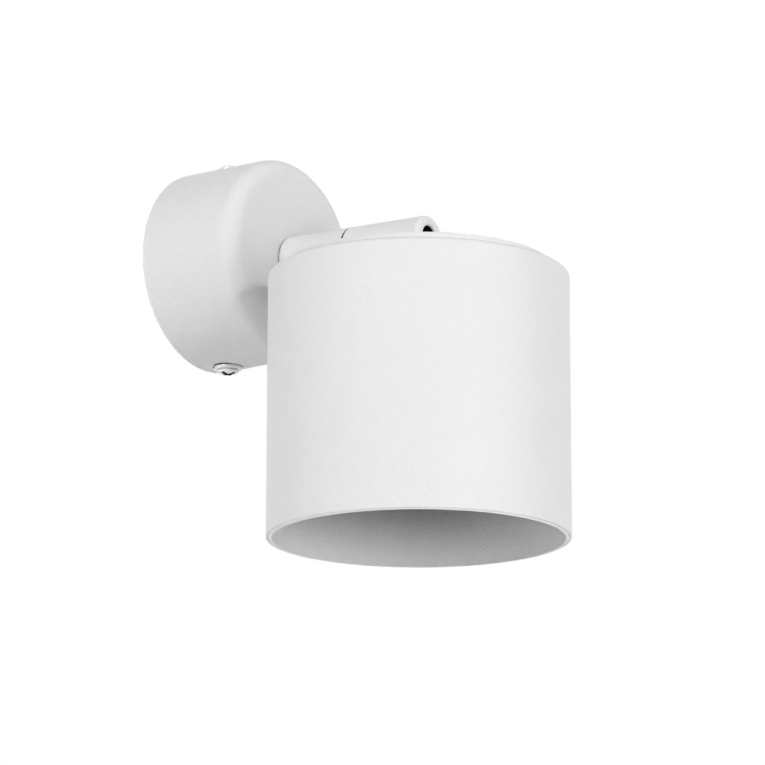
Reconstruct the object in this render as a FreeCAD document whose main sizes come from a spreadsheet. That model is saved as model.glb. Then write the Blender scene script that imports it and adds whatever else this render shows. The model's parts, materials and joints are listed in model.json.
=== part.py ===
"""Wall spotlight: a drum shade hung from a short tapered arm on a deep round canopy.

World axes: +X runs along the wall, +Y runs into the wall and +Z runs up. The wall is the
plane y = 0 and the origin is the centre of the canopy's open back. Three local frames are
used. The wall frame and the arm frame have z running out of the wall and y running up.
The shade frame has z running down from the canopy's centre and y running out of the wall.
"""
import FreeCAD, Part
import math
import os
import re

import Sketcher

Vector = FreeCAD.Vector
OUT = Vector(0, 0, 1)

document = FreeCAD.newDocument("wall_spotlight")

# Driving sizes in millimetres, angles in degrees, and counts
SIZES = {
    # canopy
    "canopy_radius": 34.6,
    "canopy_taper": 0.5,
    "canopy_depth": 38.2,
    "canopy_corner": 5.5,
    "canopy_wall": 2.0,
    # wall plate with its two ears
    "plate_thickness": 1.5,
    "ear_clearance": 0.1,
    "ear_height": 16.0,
    "ear_angle": 26.0,
    "bolt_spacing": 50.0,
    "bolt_hole_radius": 2.25,
    "entry_drop": 12.0,
    "entry_hole_radius": 7.0,
    # grommet in the cable entry
    "grommet_bore_radius": 4.0,
    "grommet_flange": 2.5,
    "grommet_height": 2.5,
    "grommet_slope": 1.0,
    # canopy screws and the collars under their heads
    "screw_depth": 9.7,
    "screw_radius": 2.0,
    "screw_length": 8.0,
    "screw_tip": 0.4,
    "screw_head_radius": 3.75,
    "screw_head_height": 1.5,
    "screw_head_corner": 1.3,
    "recess_width": 1.25,
    "recess_span": 5.8,
    "recess_depth": 1.2,
    "collar_radius": 4.8,
    "collar_thickness": 1.0,
    "collar_corner": 0.3,
    "screw_clearance": 0.25,
    "thread_clearance": 0.05,
    # terminal block
    "block_rise": 13.0,
    "block_width": 30.0,
    "block_length": 17.0,
    "block_height": 11.0,
    "pole_pitch": 10.0,
    "pole_slot_width": 1.4,
    "pole_slot_depth": 5.0,
    "tube_radius": 1.9,
    "tube_bore_radius": 1.3,
    "tube_rise": 4.5,
    "well_spread": 9.0,
    "terminal_screw_radius": 1.5,
    "terminal_screw_sink": 0.6,
    "driver_slot_width": 0.5,
    "driver_slot_depth": 0.8,
    "block_screw_radius": 1.25,
    "block_screw_head_radius": 2.2,
    "block_screw_head_height": 1.4,
    # earth terminal on the wall plate
    "earth_side": 16.0,
    "earth_drop": 14.0,
    "tag_radius": 4.0,
    "tag_thickness": 0.8,
    "tag_tail": 5.0,
    "tag_barrel_width": 3.0,
    "tag_barrel_height": 2.4,
    # leads and their sleeve
    "lead_radius": 0.75,
    "lead_spread": 0.85,
    "lead_bend": 3.0,
    "lead_gather": 17.0,
    "sleeve_radius": 1.65,
    "sleeve_start": 22.0,
    "sleeve_bend": 4.0,
    "sleeve_tail": 2.2,
    # tapered arm, in two castings split at the swivel
    "arm_drop": 2.3,
    "arm_base_radius": 9.0,
    "arm_end_radius": 7.1,
    "fixed_arm_length": 25.8,
    "arm_end_corner": 1.5,
    "arm_edge": 0.3,
    "arm_bore_radius": 3.5,
    "pivot_web": 9.0,
    # fastening of the arm in the canopy
    "gasket_thickness": 0.5,
    "gasket_inset": 0.6,
    "spigot_radius": 5.0,
    "spigot_reach": 9.0,
    "spigot_clearance": 0.15,
    "lock_washer_radius": 8.0,
    "lock_washer_thickness": 0.8,
    "lock_tooth_width": 0.9,
    "lock_tooth_depth": 1.2,
    "lock_tooth_count": 12,
    "arm_nut_flats": 14.0,
    "arm_nut_height": 4.0,
    # swivel: hollow screw, spring, friction disc and stop
    "pivot_radius": 3.0,
    "pivot_bore_radius": 1.8,
    "pivot_head_radius": 3.6,
    "pivot_head_length": 4.5,
    "pivot_socket_flats": 5.0,
    "pivot_socket_depth": 2.5,
    "spring_thickness": 0.6,
    "friction_thickness": 0.65,
    "friction_inset": 0.4,
    "friction_clearance": 0.3,
    "running_clearance": 0.06,
    "stop_circle": 5.6,
    "stop_pin_radius": 0.8,
    "stop_pin_seat": 2.5,
    "stop_pin_reach": 1.2,
    "stop_clearance": 0.15,
    "stop_groove_depth": 1.6,
    "swivel_limit": 160.0,
    # knuckle at the arm's end
    "knuckle_web": 5.0,
    "end_bore_radius": 3.9,
    "end_bore_edge": 0.4,
    "boss_radius": 6.0,
    # threaded tube that carries the shade
    "stem_radius": 4.0,
    "stem_bore_radius": 2.75,
    "stem_gap": 0.3,
    "stem_tail": 1.5,
    "stem_clearance": 0.25,
    "stem_washer_radius": 8.0,
    "stem_washer_thickness": 1.0,
    "stem_nut_flats": 13.0,
    "stem_nut_height": 4.0,
    # shade and cap
    "shade_gap": 2.6,
    "stem_setback": 4.7,
    "rim_drop": 15.2,
    "shade_radius": 50.0,
    "shade_wall": 2.05,
    "shade_height": 88.7,
    "shade_corner": 1.6,
    "shade_lip": 0.26,
    "cap_radius": 44.5,
    "cap_height": 2.95,
    "cap_skin": 1.2,
    "cap_skirt": 1.5,
    "cap_hub_radius": 9.0,
    "cap_corner": 0.5,
    # strap that carries the lampholder
    "strap_thickness": 1.5,
    "strap_width": 22.0,
    "strap_span": 52.0,
    "strap_drop": 18.25,
    "strap_foot": 10.5,
    # lampholder with two keyhole channels
    "holder_radius": 39.0,
    "holder_bore_radius": 22.5,
    "holder_height": 13.0,
    "holder_corner": 1.5,
    "holder_roof": 4.0,
    "holder_cover": 2.5,
    "pin_circle": 26.5,
    "channel_half_width": 3.2,
    "keyway_half_width": 1.9,
    "keyhole_radius": 3.1,
    "keyway_lead": 9.0,
    "twist_limit": 20.0,
    "holder_screw_circle": 32.0,
    "holder_screw_radius": 1.5,
    "holder_screw_length": 8.0,
    "holder_screw_head_radius": 2.8,
    "holder_screw_head_height": 2.0,
    "holder_screw_corner": 0.9,
    "contact_thickness": 0.5,
    "contact_length": 6.0,
    # lamp
    "lamp_gap": 0.2,
    "lamp_radius": 37.5,
    "lamp_depth": 18.0,
    "lamp_wall": 1.5,
    "lamp_corner": 2.0,
    "lamp_boss_gap": 1.0,
    "lamp_boss_height": 11.0,
    "lamp_notch_width": 1.4,
    "lamp_notch_depth": 0.9,
    "lamp_notch_length": 12.0,
    "lamp_notch_count": 24,
    "lamp_rim": 3.5,
    "diffuser_seat": 2.0,
    "diffuser_crown": 1.6,
    "diffuser_clearance": 0.2,
    "lamp_pin_radius": 1.5,
    "lamp_pin_head_radius": 2.5,
    "lamp_pin_head_height": 2.5,
    # how far a cut runs past what it cuts
    "cut_overrun": 1.0,
}

sheet = document.addObject("Spreadsheet::Sheet", "sizes")
for row, (alias, number) in enumerate(SIZES.items(), start=1):
    sheet.set(f"A{row}", alias)
    sheet.set(f"B{row}", str(number))
    sheet.setAlias(f"B{row}", alias)
document.recompute()

# Depths out of the wall: the arm's split, the shade's axis and the arm's end
ARM_SPLIT = "(canopy_depth + fixed_arm_length)"
SHADE_REACH = "(canopy_depth + shade_gap + shade_radius)"
ARM_END = f"({SHADE_REACH} + stem_setback)"
# Radius of the tapered arm where it is split
SPLIT_RADIUS = (
    "(arm_base_radius - (arm_base_radius - arm_end_radius)"
    f" * fixed_arm_length / ({ARM_END} - canopy_depth))"
)
# Radius of the tapered canopy where the wall side of a collar meets it
COLLAR_SEAT = (
    "(canopy_radius - canopy_taper * (screw_depth - collar_radius) / canopy_depth)"
)
# Depths out of the wall
GASKET_FACE = "(canopy_depth + gasket_thickness)"
CANOPY_INSIDE = "(canopy_depth - canopy_wall)"
SPIGOT_END = "(canopy_depth - canopy_wall - spigot_reach)"
KNUCKLE_START = f"({ARM_SPLIT} + friction_thickness)"
KNUCKLE_FLOOR = f"({KNUCKLE_START} + knuckle_web)"
PIVOT_SEAT = f"({KNUCKLE_FLOOR} + spring_thickness)"
PIVOT_END = f"({PIVOT_SEAT} + pivot_head_length)"
# Depths below the canopy's centre
CAP_TOP = "(rim_drop - cap_height)"
RIM = "rim_drop"
SHADE_INSIDE = "(rim_drop + shade_wall)"
STRAP_UNDER = "(rim_drop + shade_wall + strap_thickness)"
STEM_NUT_TOP = "(rim_drop + shade_wall + strap_thickness + stem_washer_thickness)"
STEM_END = (
    "(rim_drop + shade_wall + strap_thickness + stem_washer_thickness"
    " + stem_nut_height + stem_tail)"
)
FOOT_UNDER = "(rim_drop + shade_wall + strap_drop + strap_thickness)"
HOLDER_TOP = FOOT_UNDER
HOLDER_FACE = f"({HOLDER_TOP} + holder_height)"
LAMP_BACK = f"({HOLDER_FACE} + lamp_gap)"
LAMP_FRONT = f"({LAMP_BACK} + lamp_depth)"
# Radius of the lamp's opal disc
DIFFUSER_RADIUS = "(lamp_radius - lamp_rim)"


def bound(text):
    """Point each size named in an expression at the sheet."""
    return re.sub(r"\b[a-z]+(?:_[a-z0-9]+)+\b", lambda found: "sizes." + found.group(), text)


def size(alias):
    """Number that the sheet holds for one size."""
    return float(sheet.get(alias))


def split_depth():
    """Depth out of the wall at which the arm is split."""
    return size("canopy_depth") + size("fixed_arm_length")


def reach_depth():
    """Depth out of the wall of the shade's axis."""
    return size("canopy_depth") + size("shade_gap") + size("shade_radius")


def side_plane(body, role):
    """One of a body's own origin planes."""
    return next(feature for feature in body.Origin.OriginFeatures if feature.Role == role)


def new_body(label, turn=None, base=("0", "0", "0")):
    """Empty body, placed by its own turn and by expressions for its base."""
    body = document.addObject("PartDesign::Body", label)
    body.Label = label
    place(body, turn or FreeCAD.Rotation(), base)
    return body


def place(piece, turn, base):
    """Turn a piece and bind where it stands."""
    piece.Placement = FreeCAD.Placement(Vector(), turn)
    for axis, text in zip("xyz", base):
        piece.setExpression(f"Placement.Base.{axis}", bound(text))


QUARTER_TURN = FreeCAD.Rotation(Vector(1, 0, 0), 90)
HALF_TURN = FreeCAD.Rotation(Vector(1, 0, 0), 180)


def wall_body(label, up="0", across="0"):
    """Body whose z runs out of the wall, at a height and a side of the canopy's centre."""
    return new_body(label, QUARTER_TURN, (across, "0", up))


def arm_body(label):
    """Body whose z runs out of the wall along the arm's axis."""
    return new_body(label, QUARTER_TURN, ("0", "0", "-arm_drop"))


def shade_body(label):
    """Body whose z runs down the shade's axis from the level of the canopy's centre."""
    return new_body(label, HALF_TURN, ("0", f"-{SHADE_REACH}", "0"))


def new_sketch(body, role, lift="0"):
    """Sketch on an origin plane of its body, lifted along that plane's normal."""
    sketch = body.newObject("Sketcher::SketchObject", body.Label + "_sketch")
    sketch.AttachmentSupport = [(side_plane(body, role), "")]
    sketch.MapMode = "FlatFace"
    sketch.setExpression("AttachmentOffset.Base.z", bound(lift))
    return sketch


def hold(sketch, kind, where, start, text):
    """Dimension one point or curve of a sketch and bind it to an expression."""
    index = sketch.addConstraint(Sketcher.Constraint(kind, *where, start))
    sketch.setExpression(f"Constraints[{index}]", bound(text))


def polygon(body, role, corners, lift="0"):
    """Closed outline whose corners are pairs of expressions."""
    sketch = new_sketch(body, role, lift)
    count = len(corners)
    rough = [Vector(math.cos(math.tau * i / count), math.sin(math.tau * i / count), 0)
             for i in range(count)]
    for i in range(count):
        sketch.addGeometry(Part.LineSegment(rough[i], rough[(i + 1) % count]))
    for i in range(count):
        sketch.addConstraint(Sketcher.Constraint("Coincident", i, 2, (i + 1) % count, 1))
    for i, (across, along) in enumerate(corners):
        hold(sketch, "DistanceX", (-1, 1, i, 1), rough[i].x, across)
        hold(sketch, "DistanceY", (-1, 1, i, 1), rough[i].y, along)
    return sketch


def box_outline(body, role, low, high, lift="0"):
    """Rectangle between two corners."""
    corners = [low, (high[0], low[1]), high, (low[0], high[1])]
    return polygon(body, role, corners, lift)


def hexagon(body, role, flats, lift="0"):
    """Hexagon of a given width across flats, centred on the axis."""
    half = f"{flats} / 2"
    side = f"{flats} / 2 * tan(30 deg)"
    point = f"{flats} / 2 / cos(30 deg)"
    corners = [(half, f"-{side}"), (half, side), ("0", point),
               (f"-{half}", side), (f"-{half}", f"-{side}"), ("0", f"-{point}")]
    return polygon(body, role, corners, lift)


def circles(body, role, rings, lift="0"):
    """Sketch of circles, each an (across, along, radius) of expressions."""
    sketch = new_sketch(body, role, lift)
    for across, along, radius in rings:
        index = sketch.addGeometry(Part.Circle(Vector(1, 1, 0), OUT, 1))
        hold(sketch, "Radius", (index,), 1, radius)
        hold(sketch, "DistanceX", (-1, 1, index, 3), 1, across)
        hold(sketch, "DistanceY", (-1, 1, index, 3), 1, along)
    return sketch


def turned(body, corners, role="XZ_Plane", angle=None):
    """Add an outline turned about the body's z axis, whole or by a centred angle."""
    feature = body.newObject("PartDesign::Revolution", body.Label + "_turned")
    feature.Profile = polygon(body, role, corners)
    feature.ReferenceAxis = (feature.Profile[0], ["V_Axis"])
    feature.Angle = 360
    if angle:
        feature.Midplane = True
        feature.setExpression("Angle", bound(angle))
    return feature


def grooved(body, corners, role="XZ_Plane", angles=None):
    """Cut an outline turned about the z axis, whole or between two angles."""
    feature = body.newObject("PartDesign::Groove", body.Label + "_groove")
    feature.Profile = polygon(body, role, corners)
    feature.ReferenceAxis = (feature.Profile[0], ["V_Axis"])
    feature.Angle = 360
    if angles:
        feature.Type = "TwoAngles"
        feature.setExpression("Angle", bound(angles[0]))
        feature.setExpression("Angle2", bound(angles[1]))
    return cut(feature)


def padded(body, sketch, length, both_ways=False):
    """Add a sketch's outline along its normal, or half to each side of it."""
    feature = body.newObject("PartDesign::Pad", body.Label + "_pad")
    feature.Profile = sketch
    feature.setExpression("Length", bound(length))
    if both_ways:
        feature.SideType = "Symmetric"
    return feature


def pocketed(body, sketch, length, along_normal=False, both_ways=False):
    """Cut a sketch's outline against its normal, along it, or half to each side."""
    feature = body.newObject("PartDesign::Pocket", body.Label + "_pocket")
    feature.Profile = sketch
    feature.setExpression("Length", bound(length))
    feature.Reversed = along_normal
    if both_ways:
        feature.SideType = "Symmetric"
    return cut(feature)


def cut(feature):
    """Check that a cut has taken something away."""
    document.recompute()
    if not feature.Shape.Volume < feature.BaseFeature.Shape.Volume:
        raise ValueError(feature.Label + " cuts nothing")
    return feature


def around(body, features, count):
    """Repeat features round the body's z axis."""
    pattern = body.newObject("PartDesign::PolarPattern", body.Label + "_pattern")
    pattern.Originals = features
    axis = next(line for line in body.Origin.OriginFeatures if line.Role == "Z_Axis")
    pattern.Axis = (axis, [""])
    pattern.Angle = 360
    pattern.setExpression("Occurrences", bound(count))
    body.Tip = pattern
    document.recompute()
    return pattern


def ring_names(body, level, rank):
    """Name of a full ring edge at a level on z, ranked by radius from the inside."""
    document.recompute()
    shape = body.Tip.Shape
    found = []
    for index, edge in enumerate(shape.Edges, start=1):
        if isinstance(edge.Curve, Part.Circle) and abs(edge.Curve.Axis.z) > 0.999:
            if math.isclose(edge.Curve.Center.z, level, abs_tol=1e-4):
                found.append((edge.Curve.Radius, f"Edge{index}"))
    return [sorted(found)[rank][1]]


def rounded(body, names, radius):
    """Round named edges of a body's tip."""
    base = body.Tip
    feature = body.newObject("PartDesign::Fillet", body.Label + "_round")
    feature.Base = (base, names)
    feature.setExpression("Radius", bound(radius))
    document.recompute()
    return feature


def chamfered(body, names, width):
    """Chamfer named edges of a body's tip."""
    base = body.Tip
    feature = body.newObject("PartDesign::Chamfer", body.Label + "_chamfer")
    feature.Base = (base, names)
    feature.setExpression("Size", bound(width))
    document.recompute()
    return feature


def group(label, form, places):
    """Node of separate equal pieces: links to one form, each with its turn and base."""
    links = []
    for turn, base in places:
        link = document.addObject("App::Link", label + "_link")
        link.LinkedObject = form
        place(link, turn, base)
        links.append(link)
    compound = document.addObject("Part::Compound", label)
    compound.Label = label
    compound.Links = links
    return compound


def lead_path(points, bend):
    """Straight runs through the points, joined by tangent arcs of one radius."""
    edges = []
    start = points[0]
    for before, corner, after in zip(points, points[1:], points[2:]):
        arriving = (corner - before).normalize()
        leaving = (after - corner).normalize()
        half_turn = arriving.getAngle(leaving) / 2
        back = bend * math.tan(half_turn)
        inward = (leaving - arriving).normalize()
        middle = corner + inward * (bend / math.cos(half_turn) - bend)
        first = corner - arriving * back
        last = corner + leaving * back
        edges.append(Part.LineSegment(start, first).toShape())
        edges.append(Part.Arc(first, middle, last).toShape())
        start = last
    edges.append(Part.LineSegment(start, points[-1]).toShape())
    return Part.Wire(edges)


def lead_solid(points, radius, bend):
    """Round lead along a path, with its volume compared with section times length."""
    path = lead_path(points, bend)
    ring = Part.Wire(Part.makeCircle(radius, points[0], points[1] - points[0]))
    solid = path.makePipeShell([ring], True, True)
    expected = math.pi * radius ** 2 * path.Length
    if abs(solid.Volume - expected) > expected / 100:
        raise ValueError("a lead's volume is not its section times its length")
    return solid


def lead_node(label, solids, turn, base):
    """Node of leads, made in a local frame and then placed."""
    node = document.addObject("Part::Feature", label)
    node.Label = label
    node.Shape = Part.makeCompound(solids)
    node.Placement = FreeCAD.Placement(base, turn)
    return node


def in_arm_frame(label, solids):
    """Leads placed in the arm's frame."""
    return lead_node(label, solids, QUARTER_TURN, Vector(0, 0, -size("arm_drop")))


def in_shade_frame(label, solids):
    """Leads placed in the shade's frame."""
    return lead_node(label, solids, HALF_TURN, Vector(0, -reach_depth(), 0))


def make_wall_plate():
    """Steel disc on the wall, with a curved ear at its top and at its bottom."""
    body = wall_body("wall_plate")
    outer = "(canopy_radius - canopy_taper - canopy_wall - ear_clearance)"
    turned(body, [("0", "0"), (outer, "0"), (outer, "plate_thickness"), ("0", "plate_thickness")])
    inner = f"({outer} - plate_thickness)"
    ear = turned(body, [(inner, "0"), (outer, "0"), (outer, "ear_height"), (inner, "ear_height")],
                 "YZ_Plane", "ear_angle")
    around(body, [ear], "2")
    entry = circles(body, "XY_Plane", [("0", "-entry_drop", "entry_hole_radius")])
    pocketed(body, entry, "plate_thickness + cut_overrun", along_normal=True)
    bolts = circles(body, "XY_Plane", [
        ("bolt_spacing / 2", "0", "bolt_hole_radius"),
        ("-bolt_spacing / 2", "0", "bolt_hole_radius"),
        ("earth_side", "-earth_drop", "screw_radius + thread_clearance"),
        ("pole_pitch / 2", "block_rise", "block_screw_radius + thread_clearance"),
    ])
    pocketed(body, bolts, "plate_thickness + cut_overrun", along_normal=True)
    taps = circles(body, "XZ_Plane", [("0", "screw_depth", "screw_radius + thread_clearance")])
    pocketed(body, taps, "2 * canopy_radius", both_ways=True)
    return body


def make_cable_grommet():
    """Rubber ring in the plate's cable entry, with a flange on the inside."""
    body = wall_body("cable_grommet", up="-entry_drop")
    top = "(plate_thickness + grommet_height)"
    turned(body, [
        ("grommet_bore_radius", "0"),
        ("entry_hole_radius", "0"),
        ("entry_hole_radius", "plate_thickness"),
        ("entry_hole_radius + grommet_flange", "plate_thickness"),
        ("entry_hole_radius + grommet_flange - grommet_slope", top),
        ("grommet_bore_radius", top),
    ])
    return body


def make_canopy_shell():
    """Deep round canopy, open at the wall, with the arm's hole in its front."""
    body = wall_body("canopy_shell")
    inner = "(canopy_radius - canopy_wall)"
    front = "(canopy_radius - canopy_taper)"
    turned(body, [("0", "0"), ("canopy_radius", "0"), (front, "canopy_depth"),
                  ("0", "canopy_depth")])
    rounded(body, ring_names(body, size("canopy_depth"), -1), "canopy_corner")
    grooved(body, [("0", "0"), (inner, "0"), (f"({front} - canopy_wall)", CANOPY_INSIDE),
                   ("0", CANOPY_INSIDE)])
    inside = size("canopy_depth") - size("canopy_wall")
    rounded(body, ring_names(body, inside, -1), "canopy_corner - canopy_wall")
    spigot = circles(body, "XY_Plane", [("0", "-arm_drop", "spigot_radius + spigot_clearance")])
    pocketed(body, spigot, "canopy_depth + cut_overrun", along_normal=True)
    screws = circles(body, "XZ_Plane", [("0", "screw_depth", "screw_radius + screw_clearance")])
    pocketed(body, screws, "2 * (canopy_radius + cut_overrun)", both_ways=True)
    return body


def pan_screw(label, radius, length, head_radius, head_height, corner, tip):
    """Pan head screw on the z axis, its head above z = 0, with a cross recess."""
    body = new_body(label)
    turned(body, [
        ("0", f"-{length}"),
        (f"{radius} - {tip}", f"-{length}"),
        (radius, f"-{length} + {tip}"),
        (radius, "0"),
        (head_radius, "0"),
        (head_radius, head_height),
        ("0", head_height),
    ])
    rounded(body, ring_names(body, size(head_height), -1), corner)
    return body


def make_canopy_screws():
    """Two pan head screws that hold the canopy on the plate's ears."""
    form = pan_screw("canopy_screw_form", "screw_radius", "screw_length", "screw_head_radius",
                     "screw_head_height", "screw_head_corner", "screw_tip")
    half_width = "recess_width / 2"
    half_span = "recess_span / 2"
    for across, along in ((half_span, half_width), (half_width, half_span)):
        arm = box_outline(form, "XY_Plane", (f"-{across}", f"-{along}"), (across, along),
                          "screw_head_height")
        pocketed(form, arm, "recess_depth")
    seat = f"({COLLAR_SEAT} + collar_thickness)"
    return group("canopy_screws", form, [
        (FreeCAD.Rotation(), ("0", "-screw_depth", seat)),
        (HALF_TURN, ("0", "-screw_depth", f"-{seat}")),
    ])


def make_screw_collars():
    """Flat collars between the screw heads and the canopy."""
    form = new_body("screw_collar_form")
    inner = "screw_radius + screw_clearance"
    turned(form, [(inner, "0"), ("collar_radius", "0"), ("collar_radius", "collar_thickness"),
                  (inner, "collar_thickness")])
    rounded(form, ring_names(form, size("collar_thickness"), -1), "collar_corner")
    return group("screw_collars", form, [
        (FreeCAD.Rotation(), ("0", "-screw_depth", COLLAR_SEAT)),
        (HALF_TURN, ("0", "-screw_depth", f"-{COLLAR_SEAT}")),
    ])


POLES = ("-pole_pitch", "0", "pole_pitch")
WELLS = ("well_spread / 2", "-well_spread / 2")


def make_terminal_block():
    """Three-pole block with wire holes up and down and screw wells in its front."""
    body = wall_body("terminal_block", up="block_rise")
    half_width = "block_width / 2"
    half_length = "block_length / 2"
    outline = box_outline(body, "XY_Plane", (f"-{half_width}", f"-{half_length}"),
                          (half_width, half_length), "plate_thickness")
    padded(body, outline, "block_height")
    top = "plate_thickness + block_height"
    for side in ("pole_pitch / 2", "-pole_pitch / 2"):
        slot = box_outline(body, "XY_Plane",
                           (f"{side} - pole_slot_width / 2", f"-{half_length} - cut_overrun"),
                           (f"{side} + pole_slot_width / 2", f"{half_length} + cut_overrun"), top)
        pocketed(body, slot, "pole_slot_depth")
    wires = circles(body, "XZ_Plane",
                    [(pole, "plate_thickness + tube_rise", "tube_radius") for pole in POLES])
    pocketed(body, wires, "block_length + cut_overrun", both_ways=True)
    wells = circles(body, "XY_Plane", [
        (pole, well, "terminal_screw_radius + thread_clearance")
        for pole in POLES for well in WELLS
    ], top)
    pocketed(body, wells, "block_height - tube_rise")
    fixing = circles(body, "XY_Plane",
                     [("pole_pitch / 2", "0", "block_screw_radius + thread_clearance")], top)
    pocketed(body, fixing, "block_height + cut_overrun")
    return body


def make_terminal_tubes():
    """Brass tubes that lie in the block's wire holes."""
    form = new_body("terminal_tube_form")
    turned(form, [("tube_bore_radius", "0"), ("tube_radius", "0"), ("tube_radius", "block_length"),
                  ("tube_bore_radius", "block_length")])
    depth = "-plate_thickness - tube_rise"
    low = "block_rise - block_length / 2"
    return group("terminal_tubes", form,
                 [(FreeCAD.Rotation(), (pole, depth, low)) for pole in POLES])


def make_terminal_screws():
    """Slotted screws that stand on the terminal tubes."""
    form = new_body("terminal_screw_form")
    tall = "(block_height - tube_rise - tube_radius - terminal_screw_sink)"
    turned(form, [("0", "0"), ("terminal_screw_radius", "0"), ("terminal_screw_radius", tall),
                  ("0", tall)])
    slot = box_outline(form, "XY_Plane",
                       ("-terminal_screw_radius - cut_overrun", "-driver_slot_width / 2"),
                       ("terminal_screw_radius + cut_overrun", "driver_slot_width / 2"), tall)
    pocketed(form, slot, "driver_slot_depth")
    crown = "-plate_thickness - tube_rise - tube_radius"
    return group("terminal_screws", form, [
        (QUARTER_TURN, (pole, crown, f"block_rise + {well}")) for pole in POLES for well in WELLS
    ])


def make_block_screw():
    """Screw between two poles that holds the block on the plate."""
    body = wall_body("block_screw", up="block_rise", across="pole_pitch / 2")
    seat = "(plate_thickness + block_height)"
    top = f"{seat} + block_screw_head_height"
    turned(body, [
        ("0", "thread_clearance"),
        ("block_screw_radius", "thread_clearance"),
        ("block_screw_radius", seat),
        ("block_screw_head_radius", seat),
        ("block_screw_head_radius", top),
        ("0", top),
    ])
    return body


def make_earth_tag():
    """Ring tag under the earth screw, with the barrel that grips its lead."""
    body = wall_body("earth_tag", up="-earth_drop", across="earth_side")
    hole = "(screw_radius + screw_clearance)"
    top = "(plate_thickness + tag_thickness)"
    turned(body, [(hole, "plate_thickness"), ("tag_radius", "plate_thickness"),
                  ("tag_radius", top), (hole, top)])
    half = "tag_barrel_width / 2"
    start = "(tag_radius - tag_thickness)"
    tail = box_outline(body, "XY_Plane", (f"-{half}", start), (half, "tag_radius + tag_tail"),
                       "plate_thickness")
    padded(body, tail, "tag_thickness")
    barrel = box_outline(body, "XY_Plane", (f"-{half}", "tag_radius + tag_thickness"),
                         (half, "tag_radius + tag_tail"), "plate_thickness")
    padded(body, barrel, "tag_barrel_height")
    return body


def make_earth_screw():
    """Pan head screw that holds the earth tag on the plate."""
    body = wall_body("earth_screw", up="-earth_drop", across="earth_side")
    seat = "(plate_thickness + tag_thickness)"
    top = f"{seat} + screw_head_height"
    turned(body, [
        ("0", "thread_clearance"), ("screw_radius", "thread_clearance"), ("screw_radius", seat),
        ("screw_head_radius", seat), ("screw_head_radius", top), ("0", top),
    ])
    level = size("plate_thickness") + size("tag_thickness") + size("screw_head_height")
    rounded(body, ring_names(body, level, -1), "screw_head_corner")
    return body


def make_base_leads():
    """Leads from the block to the sleeve's mouth, and the earth lead to its tag."""
    rise = size("block_rise") + size("arm_drop")
    low = rise - size("block_length") / 2
    height = size("plate_thickness") + size("tube_rise")
    gather = size("lead_gather")
    spread = size("lead_spread")
    solids = []
    for pole, end in ((-size("pole_pitch"), -spread), (0, spread)):
        points = [Vector(pole, low, height), Vector(pole, 0, height),
                  Vector(end, 0, gather), Vector(end, 0, size("sleeve_start"))]
        solids.append(lead_solid(points, size("lead_radius"), size("lead_bend")))
    barrel = size("plate_thickness") + size("tag_barrel_height") / 2
    tag_end = size("tag_radius") + size("tag_tail") - size("earth_drop") + size("arm_drop")
    side = size("earth_side")
    turn = tag_end + (low - tag_end) / 2
    points = [Vector(size("pole_pitch"), low, height), Vector(size("pole_pitch"), turn, height),
              Vector(side, turn, barrel), Vector(side, tag_end, barrel)]
    solids.append(lead_solid(points, size("lead_radius"), size("lead_bend")))
    return in_arm_frame("base_leads", solids)


def make_base_sleeve():
    """Glass sleeve round the two leads, from the canopy to the swivel's screw head."""
    body = arm_body("base_sleeve")
    turned(body, [("0", "sleeve_start"), ("sleeve_radius", "sleeve_start"),
                  ("sleeve_radius", PIVOT_END), ("0", PIVOT_END)])
    return body


def make_arm_gasket():
    """Thin dark washer between the canopy's front and the arm."""
    body = arm_body("arm_gasket")
    inner = "(spigot_radius + spigot_clearance)"
    outer = "(arm_base_radius - gasket_inset)"
    turned(body, [(inner, "canopy_depth"), (outer, "canopy_depth"), (outer, GASKET_FACE),
                  (inner, GASKET_FACE)])
    return body


def make_fixed_arm():
    """Inner casting of the arm, with its spigot, its threaded web and its stop groove."""
    body = arm_body("fixed_arm")
    hole = "(pivot_radius + thread_clearance)"
    web = f"({ARM_SPLIT} - pivot_web)"
    turned(body, [
        ("arm_bore_radius", SPIGOT_END),
        ("spigot_radius", SPIGOT_END),
        ("spigot_radius", GASKET_FACE),
        ("arm_base_radius - arm_edge", GASKET_FACE),
        ("arm_base_radius", f"{GASKET_FACE} + arm_edge"),
        (SPLIT_RADIUS, f"{ARM_SPLIT} - arm_edge"),
        (f"{SPLIT_RADIUS} - arm_edge", ARM_SPLIT),
        (hole, ARM_SPLIT),
        (hole, web),
        ("arm_bore_radius", web),
    ])
    low = "(stop_circle - stop_pin_radius - stop_clearance)"
    high = "(stop_circle + stop_pin_radius + stop_clearance)"
    floor = f"({ARM_SPLIT} - stop_groove_depth)"
    open_end = f"({ARM_SPLIT} + cut_overrun)"
    reach = "swivel_limit * 1 deg + asin((stop_pin_radius + stop_clearance) / stop_circle)"
    grooved(body, [(low, floor), (high, floor), (high, open_end), (low, open_end)],
            "XZ_Plane", (reach, reach))
    return body


def make_arm_lock_washer():
    """Toothed washer between the canopy's inside and the arm's nut."""
    body = arm_body("arm_lock_washer")
    inner = "(spigot_radius + thread_clearance)"
    low = f"({CANOPY_INSIDE} - lock_washer_thickness)"
    turned(body, [(inner, low), ("lock_washer_radius", low), ("lock_washer_radius", CANOPY_INSIDE),
                  (inner, CANOPY_INSIDE)])
    notch = box_outline(body, "XY_Plane",
                        ("lock_washer_radius - lock_tooth_depth", "-lock_tooth_width / 2"),
                        ("lock_washer_radius + cut_overrun", "lock_tooth_width / 2"),
                        CANOPY_INSIDE)
    tooth = pocketed(body, notch, "lock_washer_thickness + cut_overrun")
    around(body, [tooth], "lock_tooth_count")
    return body


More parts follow.
